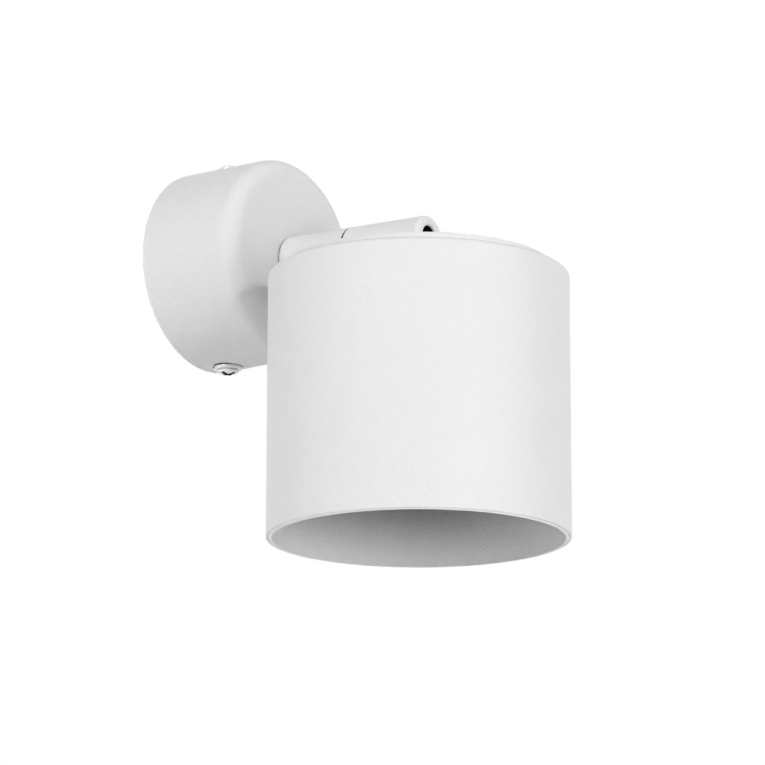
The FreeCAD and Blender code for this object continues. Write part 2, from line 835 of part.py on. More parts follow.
def make_arm_nut():
    """Nut on the arm's spigot, inside the canopy."""
    body = arm_body("arm_nut")
    low = f"({CANOPY_INSIDE} - lock_washer_thickness - arm_nut_height)"
    padded(body, hexagon(body, "XY_Plane", "arm_nut_flats", low), "arm_nut_height")
    bore = circles(body, "XY_Plane", [("0", "0", "spigot_radius + thread_clearance")], low)
    pocketed(body, bore, "arm_nut_height + cut_overrun", along_normal=True)
    return body


def make_pivot_screw():
    """Hollow screw that the knuckle turns on, with a hexagon socket in its head."""
    body = arm_body("pivot_screw")
    start = f"({ARM_SPLIT} - pivot_web)"
    turned(body, [
        ("pivot_bore_radius", start),
        ("pivot_radius", start),
        ("pivot_radius", PIVOT_SEAT),
        ("pivot_head_radius", PIVOT_SEAT),
        ("pivot_head_radius", PIVOT_END),
        ("pivot_bore_radius", PIVOT_END),
    ])
    pocketed(body, hexagon(body, "XY_Plane", "pivot_socket_flats", PIVOT_END),
             "pivot_socket_depth")
    return body


def make_pivot_spring():
    """Disc spring under the hollow screw's head, which presses the knuckle home."""
    body = arm_body("pivot_spring")
    inner = "(pivot_radius + thread_clearance)"
    turned(body, [(inner, KNUCKLE_FLOOR), ("pivot_head_radius", KNUCKLE_FLOOR),
                  ("pivot_head_radius", PIVOT_SEAT), (inner, PIVOT_SEAT)])
    return body


def make_arm_knuckle():
    """Outer casting of the arm, with its end bore and a boss that stands on the cap.

    The boss is cut flush with the arm's end face.
    """
    body = arm_body("arm_knuckle")
    turned(body, [
        ("0", KNUCKLE_START),
        (f"{SPLIT_RADIUS} - arm_edge", KNUCKLE_START),
        (SPLIT_RADIUS, f"{KNUCKLE_START} + arm_edge"),
        ("arm_end_radius", ARM_END),
        ("0", ARM_END),
    ])
    level = reach_depth() + size("stem_setback")
    rounded(body, ring_names(body, level, -1), "arm_end_corner")
    boss = circles(body, "XZ_Plane", [("0", SHADE_REACH, "boss_radius")])
    padded(body, boss, f"{CAP_TOP} - arm_drop")
    flat = box_outline(body, "XY_Plane",
                       ("-boss_radius", f"arm_drop - {CAP_TOP} - cut_overrun"),
                       ("boss_radius", "cut_overrun"), ARM_END)
    pocketed(body, flat, "boss_radius", along_normal=True)
    hole = "(pivot_radius + running_clearance)"
    beyond = f"({ARM_END} + cut_overrun)"
    grooved(body, [
        ("0", ARM_SPLIT), (hole, ARM_SPLIT), (hole, KNUCKLE_FLOOR),
        ("end_bore_radius", KNUCKLE_FLOOR),
        ("end_bore_radius", f"{ARM_END} - end_bore_edge"),
        ("end_bore_radius + end_bore_edge + cut_overrun", beyond),
        ("0", beyond),
    ])
    top = "end_bore_radius + stem_gap"
    passage = circles(body, "XZ_Plane", [("0", SHADE_REACH, "stem_bore_radius")])
    pocketed(body, passage, f"{top} + cut_overrun", along_normal=True)
    stem = circles(body, "XZ_Plane", [("0", SHADE_REACH, "stem_radius + thread_clearance")], top)
    pocketed(body, stem, f"{CAP_TOP} - arm_drop", along_normal=True)
    seat = circles(body, "XY_Plane", [("stop_circle", "0", "stop_pin_radius + thread_clearance")],
                   KNUCKLE_START)
    pocketed(body, seat, "stop_pin_seat", along_normal=True)
    return body


def make_friction_disc():
    """Dark disc in the swivel's seam, which turns with the knuckle."""
    body = arm_body("friction_disc")
    inner = "(pivot_radius + friction_clearance)"
    outer = f"({SPLIT_RADIUS} - arm_edge - friction_inset)"
    turned(body, [(inner, ARM_SPLIT), (outer, ARM_SPLIT), (outer, KNUCKLE_START),
                  (inner, KNUCKLE_START)])
    hole = circles(body, "XY_Plane", [("stop_circle", "0", "stop_pin_radius + thread_clearance")],
                   ARM_SPLIT)
    pocketed(body, hole, "friction_thickness + cut_overrun", along_normal=True)
    return body


def make_stop_pin():
    """Pin in the knuckle that runs in the fixed arm's groove and stops the swivel."""
    body = arm_body("stop_pin")
    pin = circles(body, "XY_Plane", [("stop_circle", "0", "stop_pin_radius")],
                  f"{ARM_SPLIT} - stop_pin_reach")
    padded(body, pin, "stop_pin_reach + friction_thickness + stop_pin_seat")
    return body


def make_head_sleeve():
    """Glass sleeve that turns down from the arm's bore into the threaded tube."""
    drop = size("rim_drop") + size("shade_wall") + size("strap_thickness")
    drop += size("stem_washer_thickness") + size("stem_nut_height") + size("stem_tail")
    low = size("arm_drop") - drop - size("sleeve_tail")
    start = split_depth() + size("friction_thickness") + size("knuckle_web")
    start += size("spring_thickness") + size("pivot_head_length")
    reach = reach_depth()
    points = [Vector(0, 0, start), Vector(0, 0, reach), Vector(0, low, reach)]
    solid = lead_solid(points, size("sleeve_radius"), size("sleeve_bend"))
    return in_arm_frame("head_sleeve", [solid])


def make_stem_tube():
    """Threaded tube from the knuckle's boss down through the cap, the shade and the strap."""
    body = shade_body("stem_tube")
    top = "(arm_drop + end_bore_radius + stem_gap)"
    turned(body, [("stem_bore_radius", top), ("stem_radius", top), ("stem_radius", STEM_END),
                  ("stem_bore_radius", STEM_END)])
    return body


def make_top_cap():
    """Shallow lid on the shade, with a skirt at its edge and a hub round the tube."""
    body = shade_body("top_cap")
    hole = "(stem_radius + stem_clearance)"
    under = f"({CAP_TOP} + cap_skin)"
    turned(body, [
        (hole, CAP_TOP),
        ("cap_radius", CAP_TOP),
        ("cap_radius", RIM),
        ("cap_radius - cap_skirt", RIM),
        ("cap_radius - cap_skirt", under),
        ("cap_hub_radius", under),
        ("cap_hub_radius", RIM),
        (hole, RIM),
    ])
    rounded(body, ring_names(body, size("rim_drop") - size("cap_height"), -1), "cap_corner")
    return body


def make_shade_shell():
    """Drum shade, closed at the top and open at the bottom."""
    body = shade_body("shade_shell")
    hole = "(stem_radius + stem_clearance)"
    bottom = "(rim_drop + shade_height)"
    turned(body, [
        (hole, RIM),
        ("shade_radius", RIM),
        ("shade_radius", bottom),
        ("shade_radius - shade_wall", bottom),
        ("shade_radius - shade_wall", SHADE_INSIDE),
        (hole, SHADE_INSIDE),
    ])
    rounded(body, ring_names(body, size("rim_drop"), -1), "shade_corner")
    level = size("rim_drop") + size("shade_height")
    chamfered(body, ring_names(body, level, -1), "shade_lip")
    return body


def make_lamp_strap():
    """Hat-shaped steel strap under the shade's top, with feet for the lampholder."""
    body = shade_body("lamp_strap")
    leg = "strap_span / 2"
    inner_leg = "(strap_span / 2 - strap_thickness)"
    toe = "(strap_span / 2 + strap_foot)"
    foot_top = f"({FOOT_UNDER} - strap_thickness)"
    right = [
        (inner_leg, STRAP_UNDER),
        (inner_leg, FOOT_UNDER),
        (toe, FOOT_UNDER),
        (toe, foot_top),
        (leg, foot_top),
        (leg, SHADE_INSIDE),
    ]
    left = [(f"-{across}", level) for across, level in reversed(right)]
    padded(body, polygon(body, "XZ_Plane", right + left), "strap_width", both_ways=True)
    middle = circles(body, "XY_Plane", [("0", "0", "stem_radius + stem_clearance")], SHADE_INSIDE)
    pocketed(body, middle, "strap_thickness + cut_overrun", along_normal=True)
    hole = "holder_screw_radius + screw_clearance"
    feet = circles(body, "XY_Plane", [("holder_screw_circle", "0", hole),
                                      ("-holder_screw_circle", "0", hole)], foot_top)
    pocketed(body, feet, "strap_thickness + cut_overrun", along_normal=True)
    return body


def make_stem_washer():
    """Flat washer under the tube's nut."""
    body = shade_body("stem_washer")
    inner = "(stem_radius + stem_clearance)"
    turned(body, [(inner, STRAP_UNDER), ("stem_washer_radius", STRAP_UNDER),
                  ("stem_washer_radius", STEM_NUT_TOP), (inner, STEM_NUT_TOP)])
    return body


def make_stem_nut():
    """Nut that clamps the strap, the shade and the cap against the knuckle's boss."""
    body = shade_body("stem_nut")
    padded(body, hexagon(body, "XY_Plane", "stem_nut_flats", STEM_NUT_TOP), "stem_nut_height")
    bore = circles(body, "XY_Plane", [("0", "0", "stem_radius + thread_clearance")], STEM_NUT_TOP)
    pocketed(body, bore, "stem_nut_height + cut_overrun", along_normal=True)
    return body


def make_lampholder():
    """Ring-shaped lampholder with two keyhole channels for the lamp's pins."""
    body = shade_body("lampholder")
    turned(body, [
        ("holder_bore_radius", HOLDER_TOP),
        ("holder_radius", HOLDER_TOP),
        ("holder_radius", HOLDER_FACE),
        ("holder_bore_radius", HOLDER_FACE),
    ])
    level = size("rim_drop") + size("shade_wall") + size("strap_drop") + size("strap_thickness")
    rounded(body, ring_names(body, level, -1), "holder_corner")
    roof = f"({HOLDER_TOP} + holder_roof)"
    cover = f"({HOLDER_FACE} - holder_cover)"
    beyond = f"({HOLDER_FACE} + cut_overrun)"
    angles = ("keyway_lead + twist_limit", "keyway_lead")
    inner = "(pin_circle - channel_half_width)"
    outer = "(pin_circle + channel_half_width)"
    channel = grooved(body, [(inner, roof), (outer, roof), (outer, cover), (inner, cover)],
                      "YZ_Plane", angles)
    inner = "(pin_circle - keyway_half_width)"
    outer = "(pin_circle + keyway_half_width)"
    keyway = grooved(body, [(inner, roof), (outer, roof), (outer, beyond), (inner, beyond)],
                     "YZ_Plane", angles)
    spot = ("-pin_circle * sin(twist_limit * 1 deg)", "pin_circle * cos(twist_limit * 1 deg)",
            "keyhole_radius")
    keyhole = pocketed(body, circles(body, "XY_Plane", [spot], HOLDER_FACE),
                       "holder_height - holder_roof")
    entry = circles(body, "XY_Plane", [("0", "pin_circle", "lead_radius + screw_clearance")],
                    HOLDER_TOP)
    lead_hole = pocketed(body, entry, "holder_roof + cut_overrun", along_normal=True)
    around(body, [channel, keyway, keyhole, lead_hole], "2")
    tap = "holder_screw_radius + thread_clearance"
    taps = circles(body, "XY_Plane", [("holder_screw_circle", "0", tap),
                                      ("-holder_screw_circle", "0", tap)], HOLDER_TOP)
    pocketed(body, taps, "holder_screw_length", along_normal=True)
    return body


def make_holder_screws():
    """Two screws through the strap's feet into the lampholder."""
    form = pan_screw("holder_screw_form", "holder_screw_radius",
                     "holder_screw_length", "holder_screw_head_radius",
                     "holder_screw_head_height", "holder_screw_corner", "screw_tip")
    level = f"-({FOOT_UNDER} - strap_thickness)"
    return group("holder_screws", form, [
        (FreeCAD.Rotation(), ("holder_screw_circle", f"-{SHADE_REACH}", level)),
        (FreeCAD.Rotation(), ("-holder_screw_circle", f"-{SHADE_REACH}", level)),
    ])


def make_holder_contacts():
    """Brass blades under the roofs of the two channels."""
    form = new_body("holder_contact_form")
    half_width = "(channel_half_width - running_clearance)"
    half_length = "contact_length / 2"
    padded(form, box_outline(form, "XY_Plane", (f"-{half_length}", f"-{half_width} + lead_spread"),
                             (half_length, half_width + " - lead_spread")), "contact_thickness")
    level = f"-({HOLDER_TOP} + holder_roof + contact_thickness)"
    return group("holder_contacts", form, [
        (FreeCAD.Rotation(), ("0", f"-{SHADE_REACH} + {sign}pin_circle", level))
        for sign in ("", "-")
    ])


def make_head_leads():
    """Two leads from the sleeve's end out to the lampholder's contacts."""
    under = size("rim_drop") + size("shade_wall") + size("strap_thickness")
    start = under + size("stem_washer_thickness") + size("stem_nut_height")
    start += size("stem_tail") + size("sleeve_tail")
    holder = size("rim_drop") + size("shade_wall") + size("strap_drop") + size("strap_thickness")
    level = start + (holder - start) / 2
    end = holder + size("holder_roof")
    solids = []
    for side in (1, -1):
        across = side * size("lead_spread")
        out = side * size("pin_circle")
        points = [Vector(across, 0, start), Vector(across, 0, level),
                  Vector(0, out, level), Vector(0, out, end)]
        solids.append(lead_solid(points, size("lead_radius"), size("lead_bend")))
    return in_shade_frame("head_leads", solids)


def make_lamp_housing():
    """Flat lamp body with the boss that rises into the lampholder's bore."""
    body = shade_body("lamp_housing")
    boss = "(holder_bore_radius - lamp_boss_gap)"
    boss_top = f"({LAMP_BACK} - lamp_boss_height)"
    seat = f"({LAMP_FRONT} - diffuser_seat)"
    recess = f"({DIFFUSER_RADIUS} + diffuser_clearance)"
    inside = f"({DIFFUSER_RADIUS} - lamp_wall)"
    turned(body, [
        ("0", boss_top),
        (boss, boss_top),
        (boss, LAMP_BACK),
        ("lamp_radius", LAMP_BACK),
        ("lamp_radius", LAMP_FRONT),
        (recess, LAMP_FRONT),
        (recess, seat),
        (inside, seat),
        (inside, f"{LAMP_BACK} + lamp_wall"),
        (f"{boss} - lamp_wall", f"{LAMP_BACK} + lamp_wall"),
        (f"{boss} - lamp_wall", f"{boss_top} + lamp_wall"),
        ("0", f"{boss_top} + lamp_wall"),
    ])
    back = size("rim_drop") + size("shade_wall") + size("strap_drop") + size("strap_thickness")
    back += size("holder_height") + size("lamp_gap")
    rounded(body, ring_names(body, back, -1), "lamp_corner")
    level = f"({LAMP_BACK} + (lamp_depth - lamp_notch_length) / 2)"
    notch = box_outline(body, "XY_Plane", ("lamp_radius - lamp_notch_depth", "-lamp_notch_width / 2"),
                        ("lamp_radius + cut_overrun", "lamp_notch_width / 2"), level)
    rib = pocketed(body, notch, "lamp_notch_length", along_normal=True)
    around(body, [rib], "lamp_notch_count")
    return body


def make_lamp_diffuser():
    """Slightly domed opal disc in the lamp's face."""
    body = shade_body("lamp_diffuser")
    seat = f"({LAMP_FRONT} - diffuser_seat)"
    turned(body, [
        ("0", seat),
        (DIFFUSER_RADIUS, seat),
        (DIFFUSER_RADIUS, LAMP_FRONT),
        (f"{DIFFUSER_RADIUS} * 3 / 4", f"{LAMP_FRONT} + diffuser_crown * 3 / 4"),
        ("0", f"{LAMP_FRONT} + diffuser_crown"),
    ])
    return body


def make_lamp_pins():
    """Two headed pins on the lamp's back, which hang on the lampholder's cover."""
    form = new_body("lamp_pin_form")
    neck = "(holder_cover + 2 * lamp_gap)"
    top = f"({neck} + lamp_pin_head_height)"
    turned(form, [("0", "0"), ("lamp_pin_radius", "0"), ("lamp_pin_radius", neck),
                  ("lamp_pin_head_radius", neck), ("lamp_pin_head_radius", top), ("0", top)])
    return group("lamp_pins", form, [
        (FreeCAD.Rotation(), ("0", f"-{SHADE_REACH} + {sign}pin_circle", f"-{LAMP_BACK}"))
        for sign in ("", "-")
    ])


NODES = [
    make_wall_plate(),
    make_cable_grommet(),
    make_canopy_shell(),
    make_canopy_screws(),
    make_screw_collars(),
    make_terminal_block(),
    make_terminal_tubes(),
    make_terminal_screws(),
    make_block_screw(),
    make_earth_tag(),
    make_earth_screw(),
    make_base_leads(),
    make_base_sleeve(),
    make_arm_gasket(),
    make_fixed_arm(),
    make_arm_lock_washer(),
    make_arm_nut(),
    make_pivot_screw(),
    make_pivot_spring(),
    make_arm_knuckle(),
    make_friction_disc(),
    make_stop_pin(),
    make_head_sleeve(),
    make_stem_tube(),
    make_top_cap(),
    make_shade_shell(),
    make_lamp_strap(),
    make_stem_washer(),
    make_stem_nut(),
    make_lampholder(),
    make_holder_screws(),
    make_holder_contacts(),
    make_head_leads(),
    make_lamp_housing(),
    make_lamp_diffuser(),
    make_lamp_pins(),
]
document.recompute()

for item in document.Objects:
    if "Invalid" in item.State or "Error" in item.State:
        raise ValueError(f"{item.Label} is in state {item.State}")
for node in NODES:
    if node.Shape.isNull() or not node.Shape.isValid():
        raise ValueError(node.Label + " has no valid shape")

os.makedirs("parts", exist_ok=True)
for node in NODES:
    node.Shape.exportStep(f"parts/{node.Label}.step")
    print(node.Label, len(node.Shape.Solids), round(node.Shape.Volume, 2))
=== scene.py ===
"""Wall spotlight: fine shapes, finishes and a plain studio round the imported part.

Shapes are made in millimetres in the local frame of their sub-assembly and turned into
metres when a piece is finished.
"""

import json
import logging
import math
from abc import ABC, abstractmethod
from collections.abc import Callable, Mapping, Sequence
from dataclasses import dataclass
from enum import Enum
from typing import Any, ClassVar, Self

import bmesh
import bpy
from mathutils import Matrix, Vector


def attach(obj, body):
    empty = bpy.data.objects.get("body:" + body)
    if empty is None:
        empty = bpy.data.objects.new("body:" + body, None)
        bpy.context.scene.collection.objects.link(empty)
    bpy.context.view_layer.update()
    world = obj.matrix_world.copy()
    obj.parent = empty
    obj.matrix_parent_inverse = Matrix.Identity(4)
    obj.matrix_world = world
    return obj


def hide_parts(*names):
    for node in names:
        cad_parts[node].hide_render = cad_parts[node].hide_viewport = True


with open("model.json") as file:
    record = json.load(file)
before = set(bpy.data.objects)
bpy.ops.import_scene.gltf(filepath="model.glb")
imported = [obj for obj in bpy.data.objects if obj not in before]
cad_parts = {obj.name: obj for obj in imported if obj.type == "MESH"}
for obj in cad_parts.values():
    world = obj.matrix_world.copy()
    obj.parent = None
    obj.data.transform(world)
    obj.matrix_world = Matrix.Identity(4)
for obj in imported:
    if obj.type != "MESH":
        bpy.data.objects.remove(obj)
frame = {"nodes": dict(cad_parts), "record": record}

log = logging.getLogger("wall_spotlight")

MM = 0.001
WELD = 1e-4
SHARP_IN_SHADING = math.radians(32.0)
SHARP_TO_EASE = math.radians(60.0)

Point = tuple[float, float, float]
Colour = tuple[float, float, float]
Material = bpy.types.Material
Socket = bpy.types.NodeSocket
# Corners of a section: radius, level and, where one is rounded, its rounding.
Outline = Sequence[tuple[float, ...]]


class Body(Enum):
    """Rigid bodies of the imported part."""

    WALL_SIDE = "wall_side"
    HEAD = "head"
    LAMP = "lamp"


def shift(x: float, y: float = 0.0, z: float = 0.0) -> Matrix:
    """Shift along the axes."""
    return Matrix.Translation((x, y, z))


def turn(degrees: float, axis: str = "Z") -> Matrix:
    """Turn about an axis."""
    return Matrix.Rotation(math.radians(degrees), 4, axis)


class Place(Enum):
    """Local frames, each a turn about X in degrees and a base in millimetres.

    In WALL and ARM z runs out of the wall and y runs up. In SHADE z runs down and y runs
    out of the wall.
    """

    WALL = (90.0, (0.0, 0.0, 0.0))
    ARM = (90.0, (0.0, 0.0, -2.3))
    SHADE = (180.0, (0.0, -90.8, 0.0))

    def matrix(self) -> Matrix:
        """Matrix from millimetres in this frame to metres in the world."""
        degrees, base = self.value
        return Matrix.Scale(MM, 4) @ (shift(*base) @ turn(degrees, "X"))


class Carving(Enum):
    """Ways in which one solid changes another."""

    JOIN = "UNION"
    CUT = "DIFFERENCE"


def linked(name: str, data: bpy.types.ID) -> bpy.types.Object:
    """Put an object in the scene.

    Args:
        name: Name of the object.
        data: Its mesh, light or camera.

    Returns:
        The new object.
    """
    item = bpy.data.objects.new(name, data)
    bpy.context.collection.objects.link(item)
    return item


def section(inner: float, outer: float, low: float, high: float,
            rounding: float = 0.0) -> Outline:
    """Rectangular outline, rounded on its outer side."""
    return [(inner, low), (outer, low, rounding), (outer, high, rounding), (inner, high)]


class Blank:
    """Piece in the making, in millimetres in a local frame."""

    def __init__(self, form: bmesh.types.BMesh | None = None) -> None:
        """Start with a form, or with an empty one."""
        self.form = bmesh.new() if form is None else form

    def drawn(self, places: Sequence[Point], closed: bool) -> list[bmesh.types.BMVert]:
        """Draw edges from point to point.

        Args:
            places: The points, in order.
            closed: Whether an edge goes back to the first point.

        Returns:
            The vertices at the points.
        """
        points = [self.form.verts.new(place) for place in places]
        path = points + points[:1] if closed else points
        for start, end in zip(path, path[1:]):
            self.form.edges.new((start, end))
        return points

    def round_off(self, point: bmesh.types.BMVert, rounding: float, steps: int) -> None:
        """Round one corner of a drawn line."""
        bmesh.ops.bevel(self.form, geom=[point], offset=rounding, offset_type="OFFSET",
                        segments=steps, profile=0.5, affect="VERTICES", material=-1)

    def lift(self, grown: Mapping[str, list[Any]], step: Point) -> None:
        """Move the vertices that an extrusion has made."""
        made = [item for item in grown["geom"] if isinstance(item, bmesh.types.BMVert)]
        bmesh.ops.translate(self.form, verts=made, vec=step)

    def spun(self, drawing: list[Any], angle: float, steps: int) -> Self:
        """Spin a drawing about the z axis.

        Args:
            drawing: The vertices, edges and faces that are spun.
            angle: Angle of the turn in radians.
            steps: Faces along the turn.

        Returns:
            This piece, cleaned.
        """
        bmesh.ops.spin(self.form, geom=drawing, cent=(0, 0, 0), axis=(0, 0, 1), dvec=(0, 0, 0),
                       angle=angle, steps=steps, use_merge=angle == math.tau,
                       use_duplicate=False)
        return self.cleaned()

    @classmethod
    def turned(cls, outline: Outline, segments: int, steps: int = 6) -> Self:
        """Turn an outline once round the z axis.

        Args:
            outline: Corners, in order. An outline that starts on the axis also ends on it.
            segments: Faces round the axis.
            steps: Faces along each rounded corner.

        Returns:
            The turned solid.
        """
        blank = cls()
        points = blank.drawn([(radius, 0.0, level) for radius, level, *_ in outline],
                             closed=outline[0][0] > 0)
        for point, (_, _, *rounding) in zip(points, outline):
            if any(rounding):
                blank.round_off(point, rounding[0], steps)
        return blank.spun(blank.form.verts[:] + blank.form.edges[:], math.tau, segments)

    @classmethod
    def rod(cls, radius: float, start: float, end: float, segments: int = 64) -> Self:
        """Plain round rod on the z axis."""
        return cls.turned(section(0, radius, start, end), segments)

    @classmethod
    def swept(cls, outline: Outline, sweep: float, segments: int) -> Self:
        """Turn an outline part of the way round the z axis, from the x axis.

        Args:
            outline: Corners of the closed outline.
            sweep: Angle of the turn in degrees.
            segments: Faces along the turn.

        Returns:
            The solid with both its ends closed.
        """
        blank = cls()
        corners = [blank.form.verts.new((radius, 0.0, level)) for radius, level, *_ in outline]
        face = blank.form.faces.new(corners)
        return blank.spun([face, *face.edges, *face.verts], math.radians(sweep), segments)

    @classmethod
    def box(cls, low: Point, high: Point) -> Self:
        """Make a box.

        Args:
            low: Its lowest corner.
            high: Its highest corner.

        Returns:
            The box.
        """
        blank = cls()
        form = blank.form
        outline = [(low[0], low[1]), (high[0], low[1]), (high[0], high[1]), (low[0], high[1])]
        face = form.faces.new([form.verts.new((x, y, low[2])) for x, y in outline])
        blank.lift(bmesh.ops.extrude_face_region(form, geom=[face]), (0, 0, high[2] - low[2]))
        return blank.cleaned()

    @classmethod
    def bent_strip(cls, path: Sequence[tuple[float, float]], bend: float, width: float,
                   thickness: float) -> Self:
        """Bend a strip of sheet metal along a path in the xz plane.

        Args:
            path: Corners of the strip's outer side.
            bend: Rounding of the bends on that side.
            width: Width of the strip along y.
            thickness: Thickness of the sheet, inside the path.

        Returns:
            The bent strip.
        """
        blank = cls()
        form = blank.form
        points = blank.drawn([(x, -width / 2, z) for x, z in path], closed=False)
        for point in points[1:-1]:
            blank.round_off(point, bend, steps=6)
        blank.lift(bmesh.ops.extrude_edge_only(form, edges=form.edges[:]), (0, width, 0))
        bmesh.ops.recalc_face_normals(form, faces=form.faces)
        bmesh.ops.solidify(form, geom=form.faces[:], thickness=thickness)
        return blank.cleaned()

    def cleaned(self) -> Self:
        """Merge doubled points and turn the faces outwards.

        Returns:
            This piece.
        """
        bmesh.ops.remove_doubles(self.form, verts=self.form.verts, dist=WELD)
        bmesh.ops.recalc_face_normals(self.form, faces=self.form.faces)
        return self

    def copied(self) -> "Blank":
        """Another piece of the same form."""
        return Blank(self.form.copy())

    def moved(self, matrix: Matrix) -> Self:
        """Move the piece by a matrix in millimetres."""
        bmesh.ops.transform(self.form, matrix=matrix, verts=self.form.verts)
        return self

    def mesh(self, name: str) -> bpy.types.Mesh:
        """Make a mesh of the piece, which is used up.

        Args:
            name: Name of the mesh.

        Returns:
            The mesh.
        """
        mesh = bpy.data.meshes.new(name)
        self.form.to_mesh(mesh)
        self.form.free()
        return mesh

    def joined(self, other: "Blank") -> Self:
        """Add a separate piece to this mesh.

        Args:
            other: Piece that doesn't touch this one. It is used up.

        Returns:
            This piece with the other in it.
        """
        mesh = other.mesh("joined")
        self.form.from_mesh(mesh)
        bpy.data.meshes.remove(mesh)
        return self

    def ringed(self, count: int) -> Self:
        """Repeat the piece evenly round the z axis.

        Args:
            count: Number of pieces, with this one.

        Returns:
            This piece with the others in it.
        """
        original = self.copied()
        for index in range(1, count):
            angle = math.tau * index / count
            self.joined(original.copied().moved(Matrix.Rotation(angle, 4, "Z")))
        original.form.free()
        return self

    def carved(self, tool: "Blank", way: Carving = Carving.CUT) -> Self:
        """Cut another solid out of this one, or join it to this one.

        Args:
            tool: The other solid. It is used up.
            way: Whether to cut or to join.

        Returns:
            This piece, changed.
        """
        objects = [linked("carving", blank.mesh("carving")) for blank in (self, tool)]
        modifier = objects[0].modifiers.new("carving", "BOOLEAN")
        modifier.operation = way.value
        modifier.solver = "EXACT"
        modifier.object = objects[1]
        self.form = bmesh.new()
        self.form.from_object(objects[0], bpy.context.evaluated_depsgraph_get())
        for item in objects:
            bpy.data.meshes.remove(item.data)
        bmesh.ops.remove_doubles(self.form, verts=self.form.verts, dist=WELD)
        bmesh.ops.dissolve_degenerate(self.form, edges=self.form.edges, dist=WELD)
        return self

    def eased(self, width: float) -> None:
        """Bevel the sharp edges.

        Args:
            width: Width that each bevel takes from its two faces.
        """
        sharp = [edge for edge in self.form.edges
                 if edge.is_manifold and edge.calc_face_angle() > SHARP_TO_EASE]
        bmesh.ops.bevel(self.form, geom=sharp, offset=width, offset_type="OFFSET", segments=2,
                        profile=0.5, affect="EDGES", material=-1, clamp_overlap=True)

    def painted(self, index: int, chosen: Callable[[Vector], bool]) -> None:
        """Give some faces another of the piece's finishes.

        Args:
            index: Place of the finish in the piece's list.
            chosen: Test of a face's centre in the local frame.
        """
        for face in self.form.faces:
            if chosen(face.calc_center_median()):
                face.material_index = index


def math_node(operation: str, swapped: bool = False) -> Callable[..., "Number"]:
    """Make a method that adds a Math node.

    Args:
        operation: The node's operation.
        swapped: Whether the method's own number comes last.

    Returns:
        The method.
    """
    def add(number: "Number", *others: "Number | float") -> "Number":
        """Add the node on a number and others.

        Args:
            number: The number whose method this is.
            *others: Other numbers or plain values.

        Returns:
            The node's number.
        """
        values = (*others, number) if swapped else (number, *others)
        return number.graph.number("ShaderNodeMath", dict(enumerate(values)),
                                   operation=operation)

    return add


class Number:
    """Number at a shader socket, on which Python's operators add Math nodes."""

    __add__ = __radd__ = math_node("ADD")
    __sub__ = math_node("SUBTRACT")
    __rsub__ = math_node("SUBTRACT", swapped=True)
    __mul__ = __rmul__ = math_node("MULTIPLY")
    __truediv__ = math_node("DIVIDE")
    __rtruediv__ = math_node("DIVIDE", swapped=True)
    __pow__ = math_node("POWER")
    __rpow__ = math_node("POWER", swapped=True)
    larger = math_node("MAXIMUM")
    sine = math_node("SINE")

    def __init__(self, graph: "Graph", socket: Socket) -> None:
        """Wrap a socket of a graph."""
        self.graph = graph
        self.socket = socket

    def rising(self, low: float, high: float) -> "Number":
        """Step softly from 0 to 1.

        Args:
            low: Value up to which the step is 0.
            high: Value from which it is 1.

        Returns:
            The step.
        """
        return self.graph.number(
            "ShaderNodeMapRange", {"Value": self, "From Min": low, "From Max": high},
            interpolation_type="SMOOTHSTEP")


